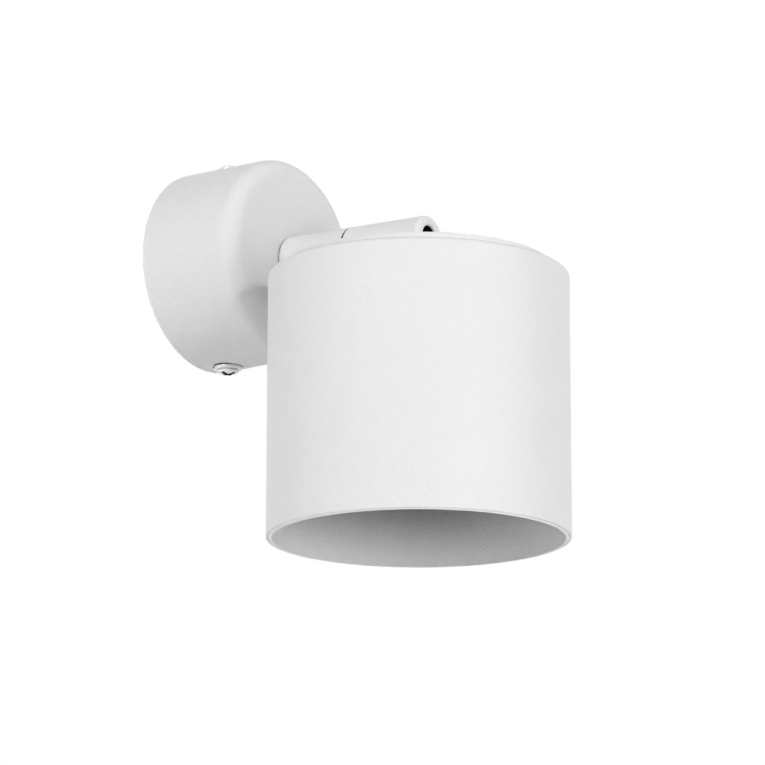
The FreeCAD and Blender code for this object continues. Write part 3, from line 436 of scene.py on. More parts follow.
class Graph:
    """Nodes of one material or world."""

    def __init__(self, owner: Material | bpy.types.World) -> None:
        """Clear the nodes of a material or world.

        Args:
            owner: The material or world.
        """
        owner.use_nodes = True
        self.tree = owner.node_tree
        self.tree.nodes.clear()

    def node(self, kind: str, inputs: Mapping[str | int, Any] | None = None,
             **settings: Any) -> bpy.types.Node:
        """Add a node.

        Args:
            kind: Type of the node.
            inputs: Values or links of its sockets, by name or place.
            **settings: Its settings, which are set first.

        Returns:
            The new node.
        """
        node = self.tree.nodes.new(kind)
        for name, value in settings.items():
            setattr(node, name, value)
        for key, value in (inputs or {}).items():
            socket = node.inputs[key]
            if isinstance(value, Number):
                value = value.socket
            if isinstance(value, Socket):
                self.tree.links.new(value, socket)
            elif isinstance(value, tuple) and socket.type == "RGBA":
                socket.default_value = (*value, 1.0)
            else:
                socket.default_value = value
        return node

    def number(self, kind: str, inputs: Mapping[str | int, Any], **settings: Any) -> Number:
        """Add a node and take the first number it gives."""
        return Number(self, self.node(kind, inputs, **settings).outputs[0])

    def place(self, centre: Point = (0, 0, 0), scale: Point = (1, 1, 1)) -> Socket:
        """Object coordinates in metres, moved or stretched.

        Args:
            centre: Point that becomes the pattern's origin.
            scale: Scale along each axis.

        Returns:
            The coordinates' socket.
        """
        source = self.node("ShaderNodeTexCoord").outputs["Object"]
        centred = self.node("ShaderNodeVectorMath", {0: source, 1: centre},
                            operation="SUBTRACT").outputs[0]
        return self.node("ShaderNodeMapping", {"Vector": centred, "Scale": scale}).outputs[0]

    def noise(self, where: Socket, size: float, detail: float = 2.0,
              roughness: float = 0.5) -> Number:
        """Add cloudy noise.

        Args:
            where: Coordinates in metres.
            size: Size of the clouds in millimetres.
            detail: Number of finer layers.
            roughness: Strength of the finer layers.

        Returns:
            The noise, from 0 to 1.
        """
        return self.number("ShaderNodeTexNoise", {
            "Vector": where, "Scale": 1 / (size * MM), "Detail": detail,
            "Roughness": roughness})

    def cells(self, where: Socket, size: float) -> Number:
        """Distance to the middle of Voronoi cells of a size in millimetres."""
        return self.number("ShaderNodeTexVoronoi", {"Vector": where, "Scale": 1 / (size * MM)})

    def axes(self, vector: Socket) -> tuple[Number, Number, Number]:
        """Three numbers of a vector."""
        node = self.node("ShaderNodeSeparateXYZ", {0: vector})
        return tuple(Number(self, output) for output in node.outputs)

    def facing_up(self) -> Number:
        """How far the surface faces up, in the piece's own frame."""
        return self.axes(self.node("ShaderNodeTexCoord").outputs["Normal"])[2]

    def blend(self, share: Number | float, first: Any, second: Any) -> Socket:
        """Mix two colours or sockets, by the share of the second."""
        return self.node("ShaderNodeMix", {"Factor": share, "A": first, "B": second},
                         data_type="RGBA").outputs["Result"]

    def rays_that_look(self) -> Number:
        """Tell the rays that see the surroundings from those that light the object.

        Returns:
            1 for a ray of the camera, a gloss or a glass, and 0 for other rays.
        """
        path = self.node("ShaderNodeLightPath")
        seen = Number(self, path.outputs["Is Camera Ray"])
        for ray in ("Is Glossy Ray", "Is Transmission Ray"):
            seen = seen.larger(Number(self, path.outputs[ray]))
        return seen

    def relief(self, height: Number, depth: float) -> Socket:
        """Normal bumped by a height from 0 to 1, for a depth in millimetres."""
        return self.node("ShaderNodeBump", {
            "Height": height, "Distance": depth * MM, "Strength": 1.0}).outputs[0]

    def surface(self, **inputs: Any) -> None:
        """Close the graph with a Principled shader.

        Args:
            **inputs: Values or links, with underscores for the spaces in a socket's name.
        """
        named = {name.replace("_", " "): value for name, value in inputs.items()}
        shader = self.node("ShaderNodeBsdfPrincipled", named)
        self.node("ShaderNodeOutputMaterial", {"Surface": shader.outputs[0]})


def scaled(colour: Colour, factor: float) -> Colour:
    """Darker or lighter colour, at most white."""
    return tuple(min(1.0, value * factor) for value in colour)


@dataclass(frozen=True)
class Finish(ABC):
    """Procedural material on object coordinates.

    Sizes of patterns and depths of relief are in millimetres, and places in metres.
    """

    name: str

    @abstractmethod
    def draw(self, graph: Graph) -> None:
        """Draw the finish's nodes."""

    def material(self) -> Material:
        """Build the material.

        Returns:
            The material.
        """
        material = bpy.data.materials.new(self.name)
        self.draw(Graph(material))
        return material


@dataclass(frozen=True)
class PowderCoat(Finish):
    """Matt powder coat with a fine leathery grain, a little dust where it faces up."""

    colour: Colour
    grain: float = 0.6
    relief: float = 0.3
    roughness: float = 0.52
    dust: float = 0.05
    dust_colour: Colour = (0.45, 0.43, 0.4)

    def draw(self, graph: Graph) -> None:
        """Draw the grain, its pimples, a slow swell, clouds of tone and the dust.

        Args:
            graph: The material's empty graph.
        """
        where = graph.place()
        grain = graph.noise(where, self.grain, 2.0, 0.6)
        pimples = 1 - graph.cells(where, self.grain * 1.7)
        swell = graph.noise(where, 7.0, 1.0)
        cloud = graph.noise(where, 34.0, 3.0, 0.6)
        tone = (cloud - 0.5) * 0.35 + (grain - 0.5) * 0.9 + 0.5
        coat = graph.blend(tone.rising(0.0, 1.0), scaled(self.colour, 0.965),
                           scaled(self.colour, 1.03))
        settled = graph.facing_up().rising(0.75, 1.0) * graph.noise(where, 9.0, 4.0, 0.7)
        colour = graph.blend(settled.rising(0.25, 1.0) * self.dust, coat, self.dust_colour)
        height = grain * 0.6 + pimples * 0.35 + swell * 0.25
        graph.surface(Base_Color=colour, Roughness=(swell - 0.5) * 0.1 + self.roughness,
                      IOR=1.48, Normal=graph.relief(height, self.relief))


@dataclass(frozen=True)
class DrumInsideShadedCoat(Finish):
    """Powder coat inside the drum: painted light at the rim, painted shade greying it deeper in.
    """

    colour: Colour
    # Grey of the painted shade deep in the drum.
    metal: Colour
    rim: float
    reach: float
    grain: float = 0.45
    relief: float = 0.4

    def draw(self, graph: Graph) -> None:
        """Draw the coat, greyed by its height over the rim as painted shade.

        Args:
            graph: The material's empty graph.
        """
        where = graph.place(centre=(0.0, 0.0, self.rim))
        height = graph.axes(where)[2] / (self.reach * MM)
        grain = graph.noise(where, self.grain, 3.0, 0.65)
        speck = graph.cells(where, self.grain * 1.4)
        cloud = graph.noise(graph.place(scale=(1.0, 1.0, 0.3)), 9.0, 3.0, 0.6)
        # Painted shade: the grey's share grows with the height over the rim.
        thin = (height + (cloud - 0.5) * 0.08).rising(0.0, 1.0)
        painted_shade_share = thin + (grain - 0.5) * 0.9 * thin.rising(0.0, 0.5)
        shaded_grey = graph.blend(grain, scaled(self.metal, 0.8), self.metal)
        graph.surface(Base_Color=graph.blend(painted_shade_share, self.colour, shaded_grey),
                      Roughness=(grain - 0.5) * 0.16 + 0.58, IOR=1.48,
                      Normal=graph.relief(grain * 0.6 + speck * 0.4, self.relief))


@dataclass(frozen=True)
class Enamel(Finish):
    """Glossy pearl-white enamel on small turned pieces, slightly uneven."""

    colour: Colour
    roughness: float = 0.24
    pearl: float = 0.15

    def draw(self, graph: Graph) -> None:
        """Draw the slow flow of the enamel and its few specks.

        Args:
            graph: The material's empty graph.
        """
        where = graph.place()
        flow = graph.noise(where, 1.6, 2.0)
        speck = graph.cells(where, 0.8).rising(0.0, 0.09)
        colour = graph.blend(speck, scaled(self.colour, 0.9), self.colour)
        graph.surface(Base_Color=colour, Roughness=flow * 0.12 + self.roughness - 0.06,
                      Metallic=self.pearl, Coat_Weight=0.35, Coat_Roughness=0.12,
                      Normal=graph.relief(flow, 0.02))


@dataclass(frozen=True)
class Metal(Finish):
    """Bare or plated metal with fine working marks, spangle and stains."""

    colour: Colour
    stain: Colour
    roughness: float
    spangle: float = 0.9
    stretch: Point = (1.0, 1.0, 0.12)

    def draw(self, graph: Graph) -> None:
        """Draw the marks, the spangle and the stains.

        Args:
            graph: The material's empty graph.
        """
        where = graph.place()
        marks = graph.noise(graph.place(scale=self.stretch), 0.25, 3.0, 0.7)
        spangle = graph.cells(where, self.spangle)
        stains = graph.noise(where, 6.0, 4.0, 0.65).rising(0.5, 0.8)
        tint = graph.blend(stains * 0.6, self.colour, self.stain)
        colour = graph.blend(spangle.rising(0.15, 0.7) * 0.6, tint, scaled(self.colour, 1.25))
        graph.surface(Base_Color=colour, Metallic=1.0,
                      Roughness=marks * 0.16 + stains * 0.1 + self.roughness - 0.08,
                      Normal=graph.relief(marks, 0.008))


@dataclass(frozen=True)
class Moulding(Finish):
    """Moulded plastic or rubber with spark-eroded grain and faint flow clouds."""

    colour: Colour
    roughness: float
    grain: float = 0.3
    relief: float = 0.01
    bloom: float = 0.06
    bloom_colour: Colour = (0.55, 0.54, 0.52)

    def draw(self, graph: Graph) -> None:
        """Draw the grain, the flow clouds and the bloom.

        Args:
            graph: The material's empty graph.
        """
        where = graph.place()
        grain = graph.noise(where, self.grain, 2.0, 0.6)
        flow = graph.noise(graph.place(scale=(1.0, 0.35, 1.0)), 8.0, 3.0, 0.6)
        dust = graph.noise(where, 2.5, 5.0, 0.75).rising(0.52, 0.85)
        body = graph.blend(flow.rising(0.3, 0.7), scaled(self.colour, 0.92), self.colour)
        graph.surface(Base_Color=graph.blend(dust * self.bloom, body, self.bloom_colour),
                      Roughness=(flow - 0.5) * 0.14 + dust * 0.1 + self.roughness,
                      Normal=graph.relief(grain, self.relief))


@dataclass(frozen=True)
class OpalDisc(Finish):
    """Frosted opal plastic, a little denser towards its rim."""

    colour: Colour
    centre: Point
    radius: float
    rim_tone: Colour = (0.86, 0.87, 0.9)

    def draw(self, graph: Graph) -> None:
        """Draw the frost, the flow and the denser rim.

        Args:
            graph: The material's empty graph.
        """
        x, y, _ = graph.axes(graph.place(centre=self.centre))
        reach = (x * x + y * y) ** 0.5 / (self.radius * MM)
        frost = graph.noise(graph.place(), 0.35, 2.0)
        flow = graph.noise(graph.place(), 11.0, 2.0)
        share = reach.rising(0.72, 1.0) * 0.7 + flow * 0.3
        rim = tuple(value * tone for value, tone in zip(self.colour, self.rim_tone))
        graph.surface(Base_Color=graph.blend(share, self.colour, rim),
                      Roughness=frost * 0.12 + 0.3, IOR=1.49,
                      Normal=graph.relief(frost, 0.006))


@dataclass(frozen=True)
class Braid(Finish):
    """Woven glass sleeve with a varnish: crossing strands along an axis."""

    strand: Colour
    gap: Colour
    pitch: float = 0.9

    def draw(self, graph: Graph) -> None:
        """Draw two crossing sets of strands and their fibres.

        Args:
            graph: The material's empty graph.
        """
        x, y, z = graph.axes(graph.place())
        turns = math.tau / (self.pitch * MM)
        along = (y + z) * turns
        across = x * turns * 1.6
        weave = ((along + across).sine() * (along - across).sine()).rising(-0.7, 0.7)
        fibre = graph.noise(graph.place(), 0.18, 3.0, 0.7)
        cloth = weave * 0.8 + fibre * 0.2
        graph.surface(Base_Color=graph.blend(cloth, self.gap, self.strand),
                      Roughness=0.62 - weave * 0.2, Normal=graph.relief(cloth, 0.06))


# The record's material slots, and the inside coat and dark steel, which only parts of pieces have
# and which both carry painted shade in places.
FINISHES: dict[str, Finish] = {
    "white_coat": PowderCoat("white_powder_coat", (0.86, 0.855, 0.856)),
    # Inside of the drum: lighter than the outside coat at the rim as painted light, grey deeper
    # in as painted shade.
    "inside_coat": DrumInsideShadedCoat("drum_inside_painted_shade", (0.94, 0.935, 0.93), (0.42, 0.42, 0.425),
                                rim=-0.1039, reach=25.0),
    "white_screw": Enamel("white_screw_enamel", (0.92, 0.92, 0.92)),
    "zinc_steel": Metal("bright_zinc_plate", (0.62, 0.63, 0.64), (0.5, 0.5, 0.46), 0.34),
    # Near-black steel: uncoated steel in joints, and painted shade in the screws' cross recesses
    # and the knuckle's bore.
    "dark_steel": Metal("dark_steel_painted_recess_shade", (0.03, 0.03, 0.03), (0.015, 0.014, 0.013), 0.55),
    "brass": Metal("machined_brass", (0.78, 0.62, 0.32), (0.5, 0.34, 0.14), 0.3),
    "black_rubber": Moulding("black_rubber", (0.035, 0.035, 0.036), 0.72, 0.4, 0.02, 0.12),
    "dark_plastic": Moulding("dark_acetal", (0.05, 0.05, 0.052), 0.45, 0.25, 0.006, 0.05),
    "white_plastic": Moulding("white_moulding", (0.84, 0.84, 0.825), 0.42),
    "opal": OpalDisc("opal_disc", (0.93, 0.92, 0.88), (0.0, -0.0908, 0.0), 34.0),
    "glass_sleeve": Braid("glass_sleeve_braid", (0.82, 0.8, 0.74), (0.42, 0.4, 0.35)),
    "lead_insulation": Moulding("lead_insulation", (0.3, 0.3, 0.32), 0.38, 0.5, 0.004, 0.04),
}


def dress_frame(finishes: Mapping[str, Material]) -> None:
    """Give every carried-over CAD node the finish of its slot.

    Args:
        finishes: Materials by the record's slots.
    """
    for part in frame["record"]["subparts"]:
        piece = frame["nodes"].get(part["node"])
        if piece is None:
            continue
        for slot in piece.material_slots:
            slot.material = finishes[part["material_slot"]]
        log.info("%s keeps its CAD shape in %s", part["node"], part["material_slot"])


@dataclass
class Assembly:
    """Sub-assembly, whose pieces are made in one local frame."""

    PLACE: ClassVar[Place]
    BODY: ClassVar[Body]

    finishes: Mapping[str, Material]

    def finish(self, blank: Blank, name: str, node: str, slot: str, *others: str,
               body: Body | None = None) -> None:
        """Make a piece an object of the scene that rides on its body.

        Args:
            blank: The piece. It is used up.
            name: Name of the object.
            node: CAD node that the piece stands for.
            slot: The record's material slot for its finish.
            *others: Finishes of its painted faces, by their indices from 1.
            body: Body that carries the piece, if it isn't the assembly's.
        """
        body = body or self.BODY
        blank.moved(self.PLACE.matrix())
        for face in blank.form.faces:
            face.smooth = True
        for edge in blank.form.edges:
            if edge.is_manifold and edge.calc_face_angle() > SHARP_IN_SHADING:
                edge.smooth = False
        mesh = blank.mesh(name)
        for key in (slot, *others):
            mesh.materials.append(self.finishes[key])
        piece = linked(name, mesh)
        normals = piece.modifiers.new("flat faces keep flat", "WEIGHTED_NORMAL")
        normals.keep_sharp = True
        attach(piece, body.value)
        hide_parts(node)
        log.info("%s: %d faces on %s", name, len(mesh.polygons), body.value)


@dataclass
class Canopy(Assembly):
    """Round canopy on the wall with its side screws, wall plate and cable grommet."""

    PLACE = Place.WALL
    BODY = Body.WALL_SIDE

    radius: float = 34.6
    taper: float = 0.5
    depth: float = 38.2
    corner: float = 5.5
    wall: float = 2.0
    spigot_radius: float = 5.15
    spigot_drop: float = 2.3
    screw_depth: float = 9.7
    screw_hole: float = 2.25
    spot_face: float = 33.9
    spot_margin: float = 0.4
    shadow_ring_height: float = 0.5
    shadow_ring_inset: float = 0.12
    collar_top: float = 35.536
    collar_radius: float = 4.8
    head_radius: float = 3.75
    head_height: float = 1.5
    neck_inset: float = 0.5
    shank_radius: float = 2.0
    shank_length: float = 8.0
    thread_start: float = 1.6
    thread_root: float = 1.62
    thread_pitch: float = 0.7
    recess_reach: float = 2.9
    recess_width: float = 1.4
    recess_depth: float = 1.3
    plate_radius: float = 32.0
    plate_thickness: float = 1.5
    bead_height: float = 0.45
    ear_foot: float = 0.4
    ear_height: float = 16.0
    ear_angle: float = 26.0
    tapped_radius: float = 2.05
    bolt_radius: float = 2.25
    bolt_spread: float = 25.0
    entry_drop: float = 12.0
    entry_radius: float = 7.0
    earth_spot: tuple[float, float] = (16.0, -14.0)
    block_spot: tuple[float, float] = (5.0, 13.0)
    block_radius: float = 1.3

    def build(self) -> None:
        """Build the canopy's pieces."""
        self.plate()
        self.shell()
        self.screws()
        self.collars()
        self.grommet()

    def plate(self) -> None:
        """Pressed wall plate with a stiffening bead, two tapped ears and its holes."""
        face, bead = self.plate_thickness, self.bead_height
        edge = self.plate_radius - face
        ring = [(edge - 0.3, 0.0), (edge - 0.8, bead), (edge - 1.8, bead), (edge - 2.3, 0.0)]
        blank = Blank.turned([
            (0, face), *((r, face + rise, 0.2) for r, rise in reversed(ring)),
            (self.plate_radius, face, 0.2), (self.plate_radius, 0, 0.3),
            *((r, rise, 0.2) for r, rise in ring), (0, 0),
        ], segments=160, steps=3)
        for middle in (90, 270):
            ear = Blank.swept(section(edge, self.plate_radius, self.ear_foot, self.ear_height),
                              self.ear_angle, segments=24)
            blank.carved(ear.moved(turn(middle - self.ear_angle / 2)), Carving.JOIN)
        for x, y, radius in (
                (0, -self.entry_drop, self.entry_radius),
                (self.bolt_spread, 0, self.bolt_radius), (-self.bolt_spread, 0, self.bolt_radius),
                (*self.earth_spot, self.tapped_radius), (*self.block_spot, self.block_radius)):
            blank.carved(Blank.rod(radius, -1, face + 1, segments=48).moved(shift(x, y)))
        tapped = Blank.rod(self.tapped_radius, edge - 1, self.plate_radius + 1, segments=32)
        blank.carved(self.on_both_sides(tapped))
        blank.eased(0.12)
        self.finish(blank, "wall_disc", "wall_plate", "zinc_steel")

    def shell(self) -> None:
        """Drawn shell with its large front rounding, the arm's hole and two screw holes."""
        front = self.radius - self.taper
        inside = self.depth - self.wall
        blank = Blank.turned([
            (0, self.depth), (front, self.depth, self.corner), (self.radius, 0, 0.35),
            (self.radius - self.wall, 0, 0.35),
            (front - self.wall, inside, self.corner - self.wall), (0, inside),
        ], segments=192, steps=12)
        hole = Blank.rod(self.spigot_radius, inside - 1, self.depth + 1)
        blank.carved(hole.moved(shift(0, -self.spigot_drop)))
        for radius, low, segments in (
                (self.screw_hole, 0, 32),
                (self.collar_radius + self.spot_margin, self.spot_face, 96)):
            blank.carved(self.on_both_sides(Blank.rod(radius, low, self.radius + 1, segments)))
        self.finish(blank, "canopy_skin", "canopy_shell", "white_coat")

    def on_both_sides(self, blank: Blank) -> Blank:
        """Put one copy of a piece under the canopy and one on top of it."""
        low = blank.copied().moved(shift(0, 0, self.screw_depth) @ turn(90, "X"))
        return blank.moved(shift(0, 0, self.screw_depth) @ turn(-90, "X")).joined(low)

    def screws(self) -> None:
        """Pan head screws with a cross recess and a short thread."""
        seat = self.collar_top
        tip = seat - self.shank_length
        thread = []
        for ridge in range(9):
            level = seat - self.thread_start - self.thread_pitch * ridge
            thread += [(self.shank_radius, level),
                       (self.thread_root, level - self.thread_pitch / 2)]
        top = seat + self.head_height
        neck = self.head_radius - self.neck_inset
        blank = Blank.turned([
            (0, top), (2.3, top, 1.0), (self.head_radius, seat + 0.6, 0.25),
            (self.head_radius, seat + 0.26, 0.1), (neck, seat + 0.2), (neck, seat),
            (self.shank_radius, seat), *thread, (1.4, tip), (0, tip),
        ], segments=64, steps=8)
        floor = top - self.recess_depth
        reach, half = self.recess_reach, self.recess_width / 2
        for angle in (0, 90):
            slot = Blank.box((-reach, -half, floor), (reach, half, top + 1))
            blank.carved(slot.moved(turn(angle)))

        def in_recess(centre: Vector) -> bool:
            """Whether a face lies in the cross, above its floor."""
            near, far = sorted((abs(centre.x), abs(centre.y)))
            return near < half + 0.01 and far < reach + 0.01 and centre.z > floor - 0.05

        # The cross recess is painted near-black as painted shade.
        blank.painted(1, in_recess)
        self.finish(self.on_both_sides(blank), "canopy_screw_pair", "canopy_screws",
                    "white_screw", "dark_steel")

    def collars(self) -> None:
        """Collars under the screw heads, each on a thin black ring in its spot face, as painted
        shade.
        """
        seal = self.spot_face + self.shadow_ring_height
        edge = self.collar_radius - self.shadow_ring_inset
        blank = Blank.turned([
            (self.screw_hole, self.spot_face), (edge, self.spot_face), (edge, seal),
            (self.collar_radius, seal, 0.1), (self.collar_radius, self.collar_top, 0.35),
            (self.screw_hole, self.collar_top, 0.1),
        ], segments=96)
        # The black ring under each collar is painted shade in the gap there.
        blank.painted(1, lambda c: c.z < seal - 0.01)
        self.finish(self.on_both_sides(blank), "screw_collar_pair", "screw_collars",
                    "white_screw", "black_rubber")

    def grommet(self) -> None:
        """Rubber ring in the plate's cable entry."""
        face = self.plate_thickness
        blank = Blank.turned([
            (4.0, 0, 0.4), (self.entry_radius, 0, 0.15), (self.entry_radius, face),
            (9.5, face, 0.3), (8.5, 4.0, 0.7), (4.0, 4.0, 0.5),
        ], segments=72)
        blank.moved(shift(0, -self.entry_drop))
        self.finish(blank, "entry_grommet", "cable_grommet", "black_rubber")


@dataclass
class Arm(Assembly):
    """Tapered arm in two castings with a thin dark disc in the swivel's seam."""

    PLACE = Place.ARM
    BODY = Body.WALL_SIDE

    start: float = 38.2
    gasket: float = 0.5
    split: float = 64.0
    disc: float = 0.65
    disc_inset: float = 0.7
    end: float = 95.5
    base_radius: float = 9.0
    end_radius: float = 7.1
    spigot_radius: float = 5.0
    spigot_end: float = 27.2
    lead_bore: float = 3.5
    pivot_bore: float = 3.05
    web: float = 55.0
    bore: float = 3.9
    coated: float = 1.1
    edge: float = 0.12
    reach: float = 90.8
    boss_radius: float = 6.0
    boss_foot: float = 9.95
    tube_radius: float = 4.05

    def radius_at(self, depth: float) -> float:
        """Radius of the tapered arm at a depth out of the wall."""
        share = (depth - self.start) / (self.end - self.start)
        return self.base_radius - (self.base_radius - self.end_radius) * share

    def build(self) -> None:
        """Build the arm's pieces."""
        self.washer()
        self.inner_casting()
        self.seam_disc()
        self.knuckle()

    def washer(self) -> None:
        """Thin rubber washer between the canopy and the arm."""
        blank = Blank.turned(section(5.15, 8.4, self.start, self.start + self.gasket, 0.1),
                             segments=96)
        self.finish(blank, "arm_washer", "arm_gasket", "black_rubber")

    def inner_casting(self) -> None:
        """Casting that is fixed in the canopy, with its spigot and threaded web."""
        face = self.start + self.gasket
        blank = Blank.turned([
            (self.lead_bore, self.spigot_end, 0.3), (self.spigot_radius, self.spigot_end, 0.4),
            (self.spigot_radius, face), (self.base_radius, face, self.edge),
            (self.radius_at(self.split), self.split, self.edge),
            (self.pivot_bore, self.split), (self.pivot_bore, self.web),
            (self.lead_bore, self.web),
        ], segments=128)
        blank.painted(1, lambda c: c.xy.length < self.spigot_radius + 0.1
                      or c.z > self.split - 1e-3)
        self.finish(blank, "inner_arm", "fixed_arm", "white_coat", "dark_steel")

    def seam_disc(self) -> None:
        """Friction disc, set back from the seam's edges."""
        outer = self.radius_at(self.split) - self.disc_inset
        blank = Blank.turned(section(3.3, outer, self.split, self.split + self.disc),
                             segments=96)
        self.finish(blank, "seam_disc", "friction_disc", "dark_plastic", body=Body.HEAD)

    def knuckle(self) -> None:
        """Turning casting with its end bore and the boss that stands on the cap."""
        start = self.split + self.disc
        blank = Blank.turned([
            (0, start), (self.radius_at(self.split), start, self.edge),
            (self.end_radius, self.end, 1.5), (0, self.end),
        ], segments=160, steps=10)
        boss = Blank.turned([
            (0, 0.01), (self.boss_radius, 0.01), (self.boss_radius, self.boss_foot, 0.25),
            (0, self.boss_foot),
        ], segments=128)
        down = shift(0, 0, self.reach) @ turn(90, "X")
        front = Blank.box((-8, -12, self.end), (8, 1, self.end + 4))
        blank.carved(boss.moved(down).carved(front), Carving.JOIN)
        deep = self.end - self.coated
        mouth = self.end + 1.0
        blank.carved(Blank.turned([
            (0, start - 1), (3.06, start - 1), (3.06, start + 5.0), (self.bore, start + 5.0),
            (self.bore, deep), (self.bore, self.end - 0.4), (self.bore + 1.4, mouth),
            (0, mouth),
        ], segments=128))
        for radius, low, high in ((2.75, 1.0, 5.2), (self.tube_radius, 4.2, self.boss_foot + 1)):
            blank.carved(Blank.rod(radius, low, high).moved(down))
        # Uncoated dark steel on the seam's face and in the tube's hole; the bore's deep part is
        # painted shade.
        blank.painted(1, lambda c: c.z < start + 1e-3)
        blank.painted(1, lambda c: c.z < deep and c.xy.length < self.bore + 0.05)
        blank.painted(1, lambda c: c.y < -3.8
                      and math.hypot(c.x, c.z - self.reach) < self.tube_radius + 0.01)
        self.finish(blank, "knuckle", "arm_knuckle", "white_coat", "dark_steel", body=Body.HEAD)


@dataclass
class Shade(Assembly):
    """Drum shade with its shallow cap."""

    PLACE = Place.SHADE
    BODY = Body.HEAD

    radius: float = 50.0
    wall: float = 2.05
    top: float = 15.2
    height: float = 88.7
    stem_hole: float = 4.25
    corner: float = 1.6
    seam_angle: int = 34
    seam_depth: float = 0.2
    lip_foot: float = 0.95
    lip_edge: float = 0.6
    lip_height: float = 0.3
    cap_radius: float = 44.5
    cap_height: float = 2.95
    cap_sheet: float = 1.2
    skirt: float = 1.5
    hub_radius: float = 9.0

    def build(self) -> None:
        """Build the shade's pieces."""
        self.shell()
        self.cap()

    def shell(self) -> None:
        """Spun drum with a fine seam round its shoulder and a raised lip inside its rim."""
        bottom = self.top + self.height
        ceiling = self.top + self.wall
        inner = self.radius - self.wall
        foot, edge = inner + self.lip_foot, inner + self.lip_edge
        end = bottom + self.lip_height
        blank = Blank.turned([
            (self.stem_hole, self.top), *self.shoulder(), (self.radius, bottom, 0.26),
            (foot, bottom), (edge, end, 0.08), (inner, end, 0.12), (inner, ceiling, 0.9),
            (self.stem_hole, ceiling),
        ], segments=256, steps=8)
        # The inside carries the painted light and shade of the drum's inside coat.
        blank.painted(1, lambda c: self.top + 0.5 < c.z < bottom - 0.3
                      and c.xy.length < inner + 0.05)
        # Painted highlight: the lip takes the screws' lighter, glossier enamel.
        blank.painted(2, lambda c: c.z > bottom + 0.01 and edge - 0.03 < c.xy.length < foot)
        # Painted shade: the seam's groove round the shoulder is painted black.
        blank.painted(3, lambda c: c.z < self.top + self.corner and math.hypot(
            c.xy.length - self.radius + self.corner,
            c.z - self.top - self.corner) < self.corner - self.seam_depth / 4)
        self.finish(blank, "shade_drum", "shade_shell", "white_coat", "inside_coat",
                    "white_screw", "black_rubber")

    def shoulder(self) -> Outline:
        """Draw the shoulder's round with the seam cut into it.

        Returns:
            Corners from the flat top to the drum's side.
        """
        corners = []
        for degrees in (0, 6, 12, 18, 24, 29, 32, 34, 36, 39, 45, 51, 57, 63, 69, 75, 81, 86, 90):
            angle = math.radians(degrees)
            out = self.corner - (self.seam_depth if degrees == self.seam_angle else 0.0)
            corners.append((self.radius - self.corner + out * math.sin(angle),
                            self.top + self.corner - out * math.cos(angle)))
        return corners

    def cap(self) -> None:
        """Lid with an eased edge, a skirt and a hub."""
        high = self.top - self.cap_height
        under = high + self.cap_sheet
        inner = self.cap_radius - self.skirt
        blank = Blank.turned([
            (self.stem_hole, high, 0.2), (self.cap_radius, high, 0.5),
            (self.cap_radius, self.top, 0.12), (inner, self.top), (inner, under),
            (self.hub_radius, under), (self.hub_radius, self.top), (self.stem_hole, self.top),
        ], segments=224)
        self.finish(blank, "shade_cap", "top_cap", "white_coat")


@dataclass
class Holder(Assembly):
    """Sheet-metal strap and ring-shaped lampholder under the shade's top."""

    PLACE = Place.SHADE
    BODY = Body.HEAD

    strap_top: float = 17.25
    strap_reach: float = 36.5
    strap_side: float = 26.0
    strap_width: float = 22.0
    strap_bend: float = 2.0
    sheet: float = 1.5
    stem_hole: float = 4.25
    screw_spread: float = 32.0
    foot: float = 37.0
    face: float = 50.0
    radius: float = 39.0
    bore: float = 22.5
    pins: float = 26.5
    channel_start: float = 81.0
    channel_sweep: float = 38.0
    entry_angle: float = 110.0

    def build(self) -> None:
        """Build the holder's pieces."""
        self.strap()
        self.ring()

    def screw_holes(self, blank: Blank, radius: float, low: float, high: float) -> None:
        """Drill the two screws' holes between two levels."""
        for side in (-self.screw_spread, self.screw_spread):
            blank.carved(Blank.rod(radius, low, high, segments=32).moved(shift(side)))

    def strap(self) -> None:
        """Hat-shaped strap with bent corners and holes for the tube and the screws."""
        low = self.foot - self.sheet
        half = [(self.strap_side, self.strap_top), (self.strap_side, low),
                (self.strap_reach, low)]
        blank = Blank.bent_strip([*((-x, z) for x, z in reversed(half)), *half],
                                 self.strap_bend, self.strap_width, self.sheet)
        blank.carved(Blank.rod(self.stem_hole, self.strap_top - 2, self.strap_top + 4,
                               segments=48))
        self.screw_holes(blank, 1.75, self.foot - 4, self.foot + 1)
        blank.eased(0.15)
        self.finish(blank, "holder_strap", "lamp_strap", "zinc_steel")

    def ring(self) -> None:
        """Moulded ring with two keyhole channels, lead holes and screw holes."""
        groove = self.radius - 0.5
        blank = Blank.turned([
            (self.bore, self.foot, 0.6), (self.radius, self.foot, 1.5),
            (self.radius, self.face - 3.2), (groove, self.face - 2.9),
            (groove, self.face - 2.5), (self.radius, self.face - 2.2),
            (self.radius, self.face, 0.4), (self.bore, self.face, 0.6),
        ], segments=192)
        roof = self.foot + 4.0
        tools = []
        for half, high in ((3.2, self.face - 2.5), (1.9, self.face + 1)):
            channel = Blank.swept(section(self.pins - half, self.pins + half, roof, high),
                                  self.channel_sweep, segments=24)
            tools.append(channel.moved(turn(self.channel_start)))
        angle = math.radians(self.entry_angle)
        tools.append(Blank.rod(3.1, roof, self.face + 1, segments=48).moved(
            shift(self.pins * math.cos(angle), self.pins * math.sin(angle))))
        lead_hole = Blank.rod(1.0, self.foot - 1, roof + 1, segments=24)
        tools.append(lead_hole.moved(shift(0, self.pins)))
        for tool in tools:
            other = tool.copied().moved(turn(180))
            blank.carved(tool).carved(other)
        self.screw_holes(blank, 1.55, self.foot - 1, self.foot + 8)
        self.finish(blank, "holder_ring", "lampholder", "white_plastic")


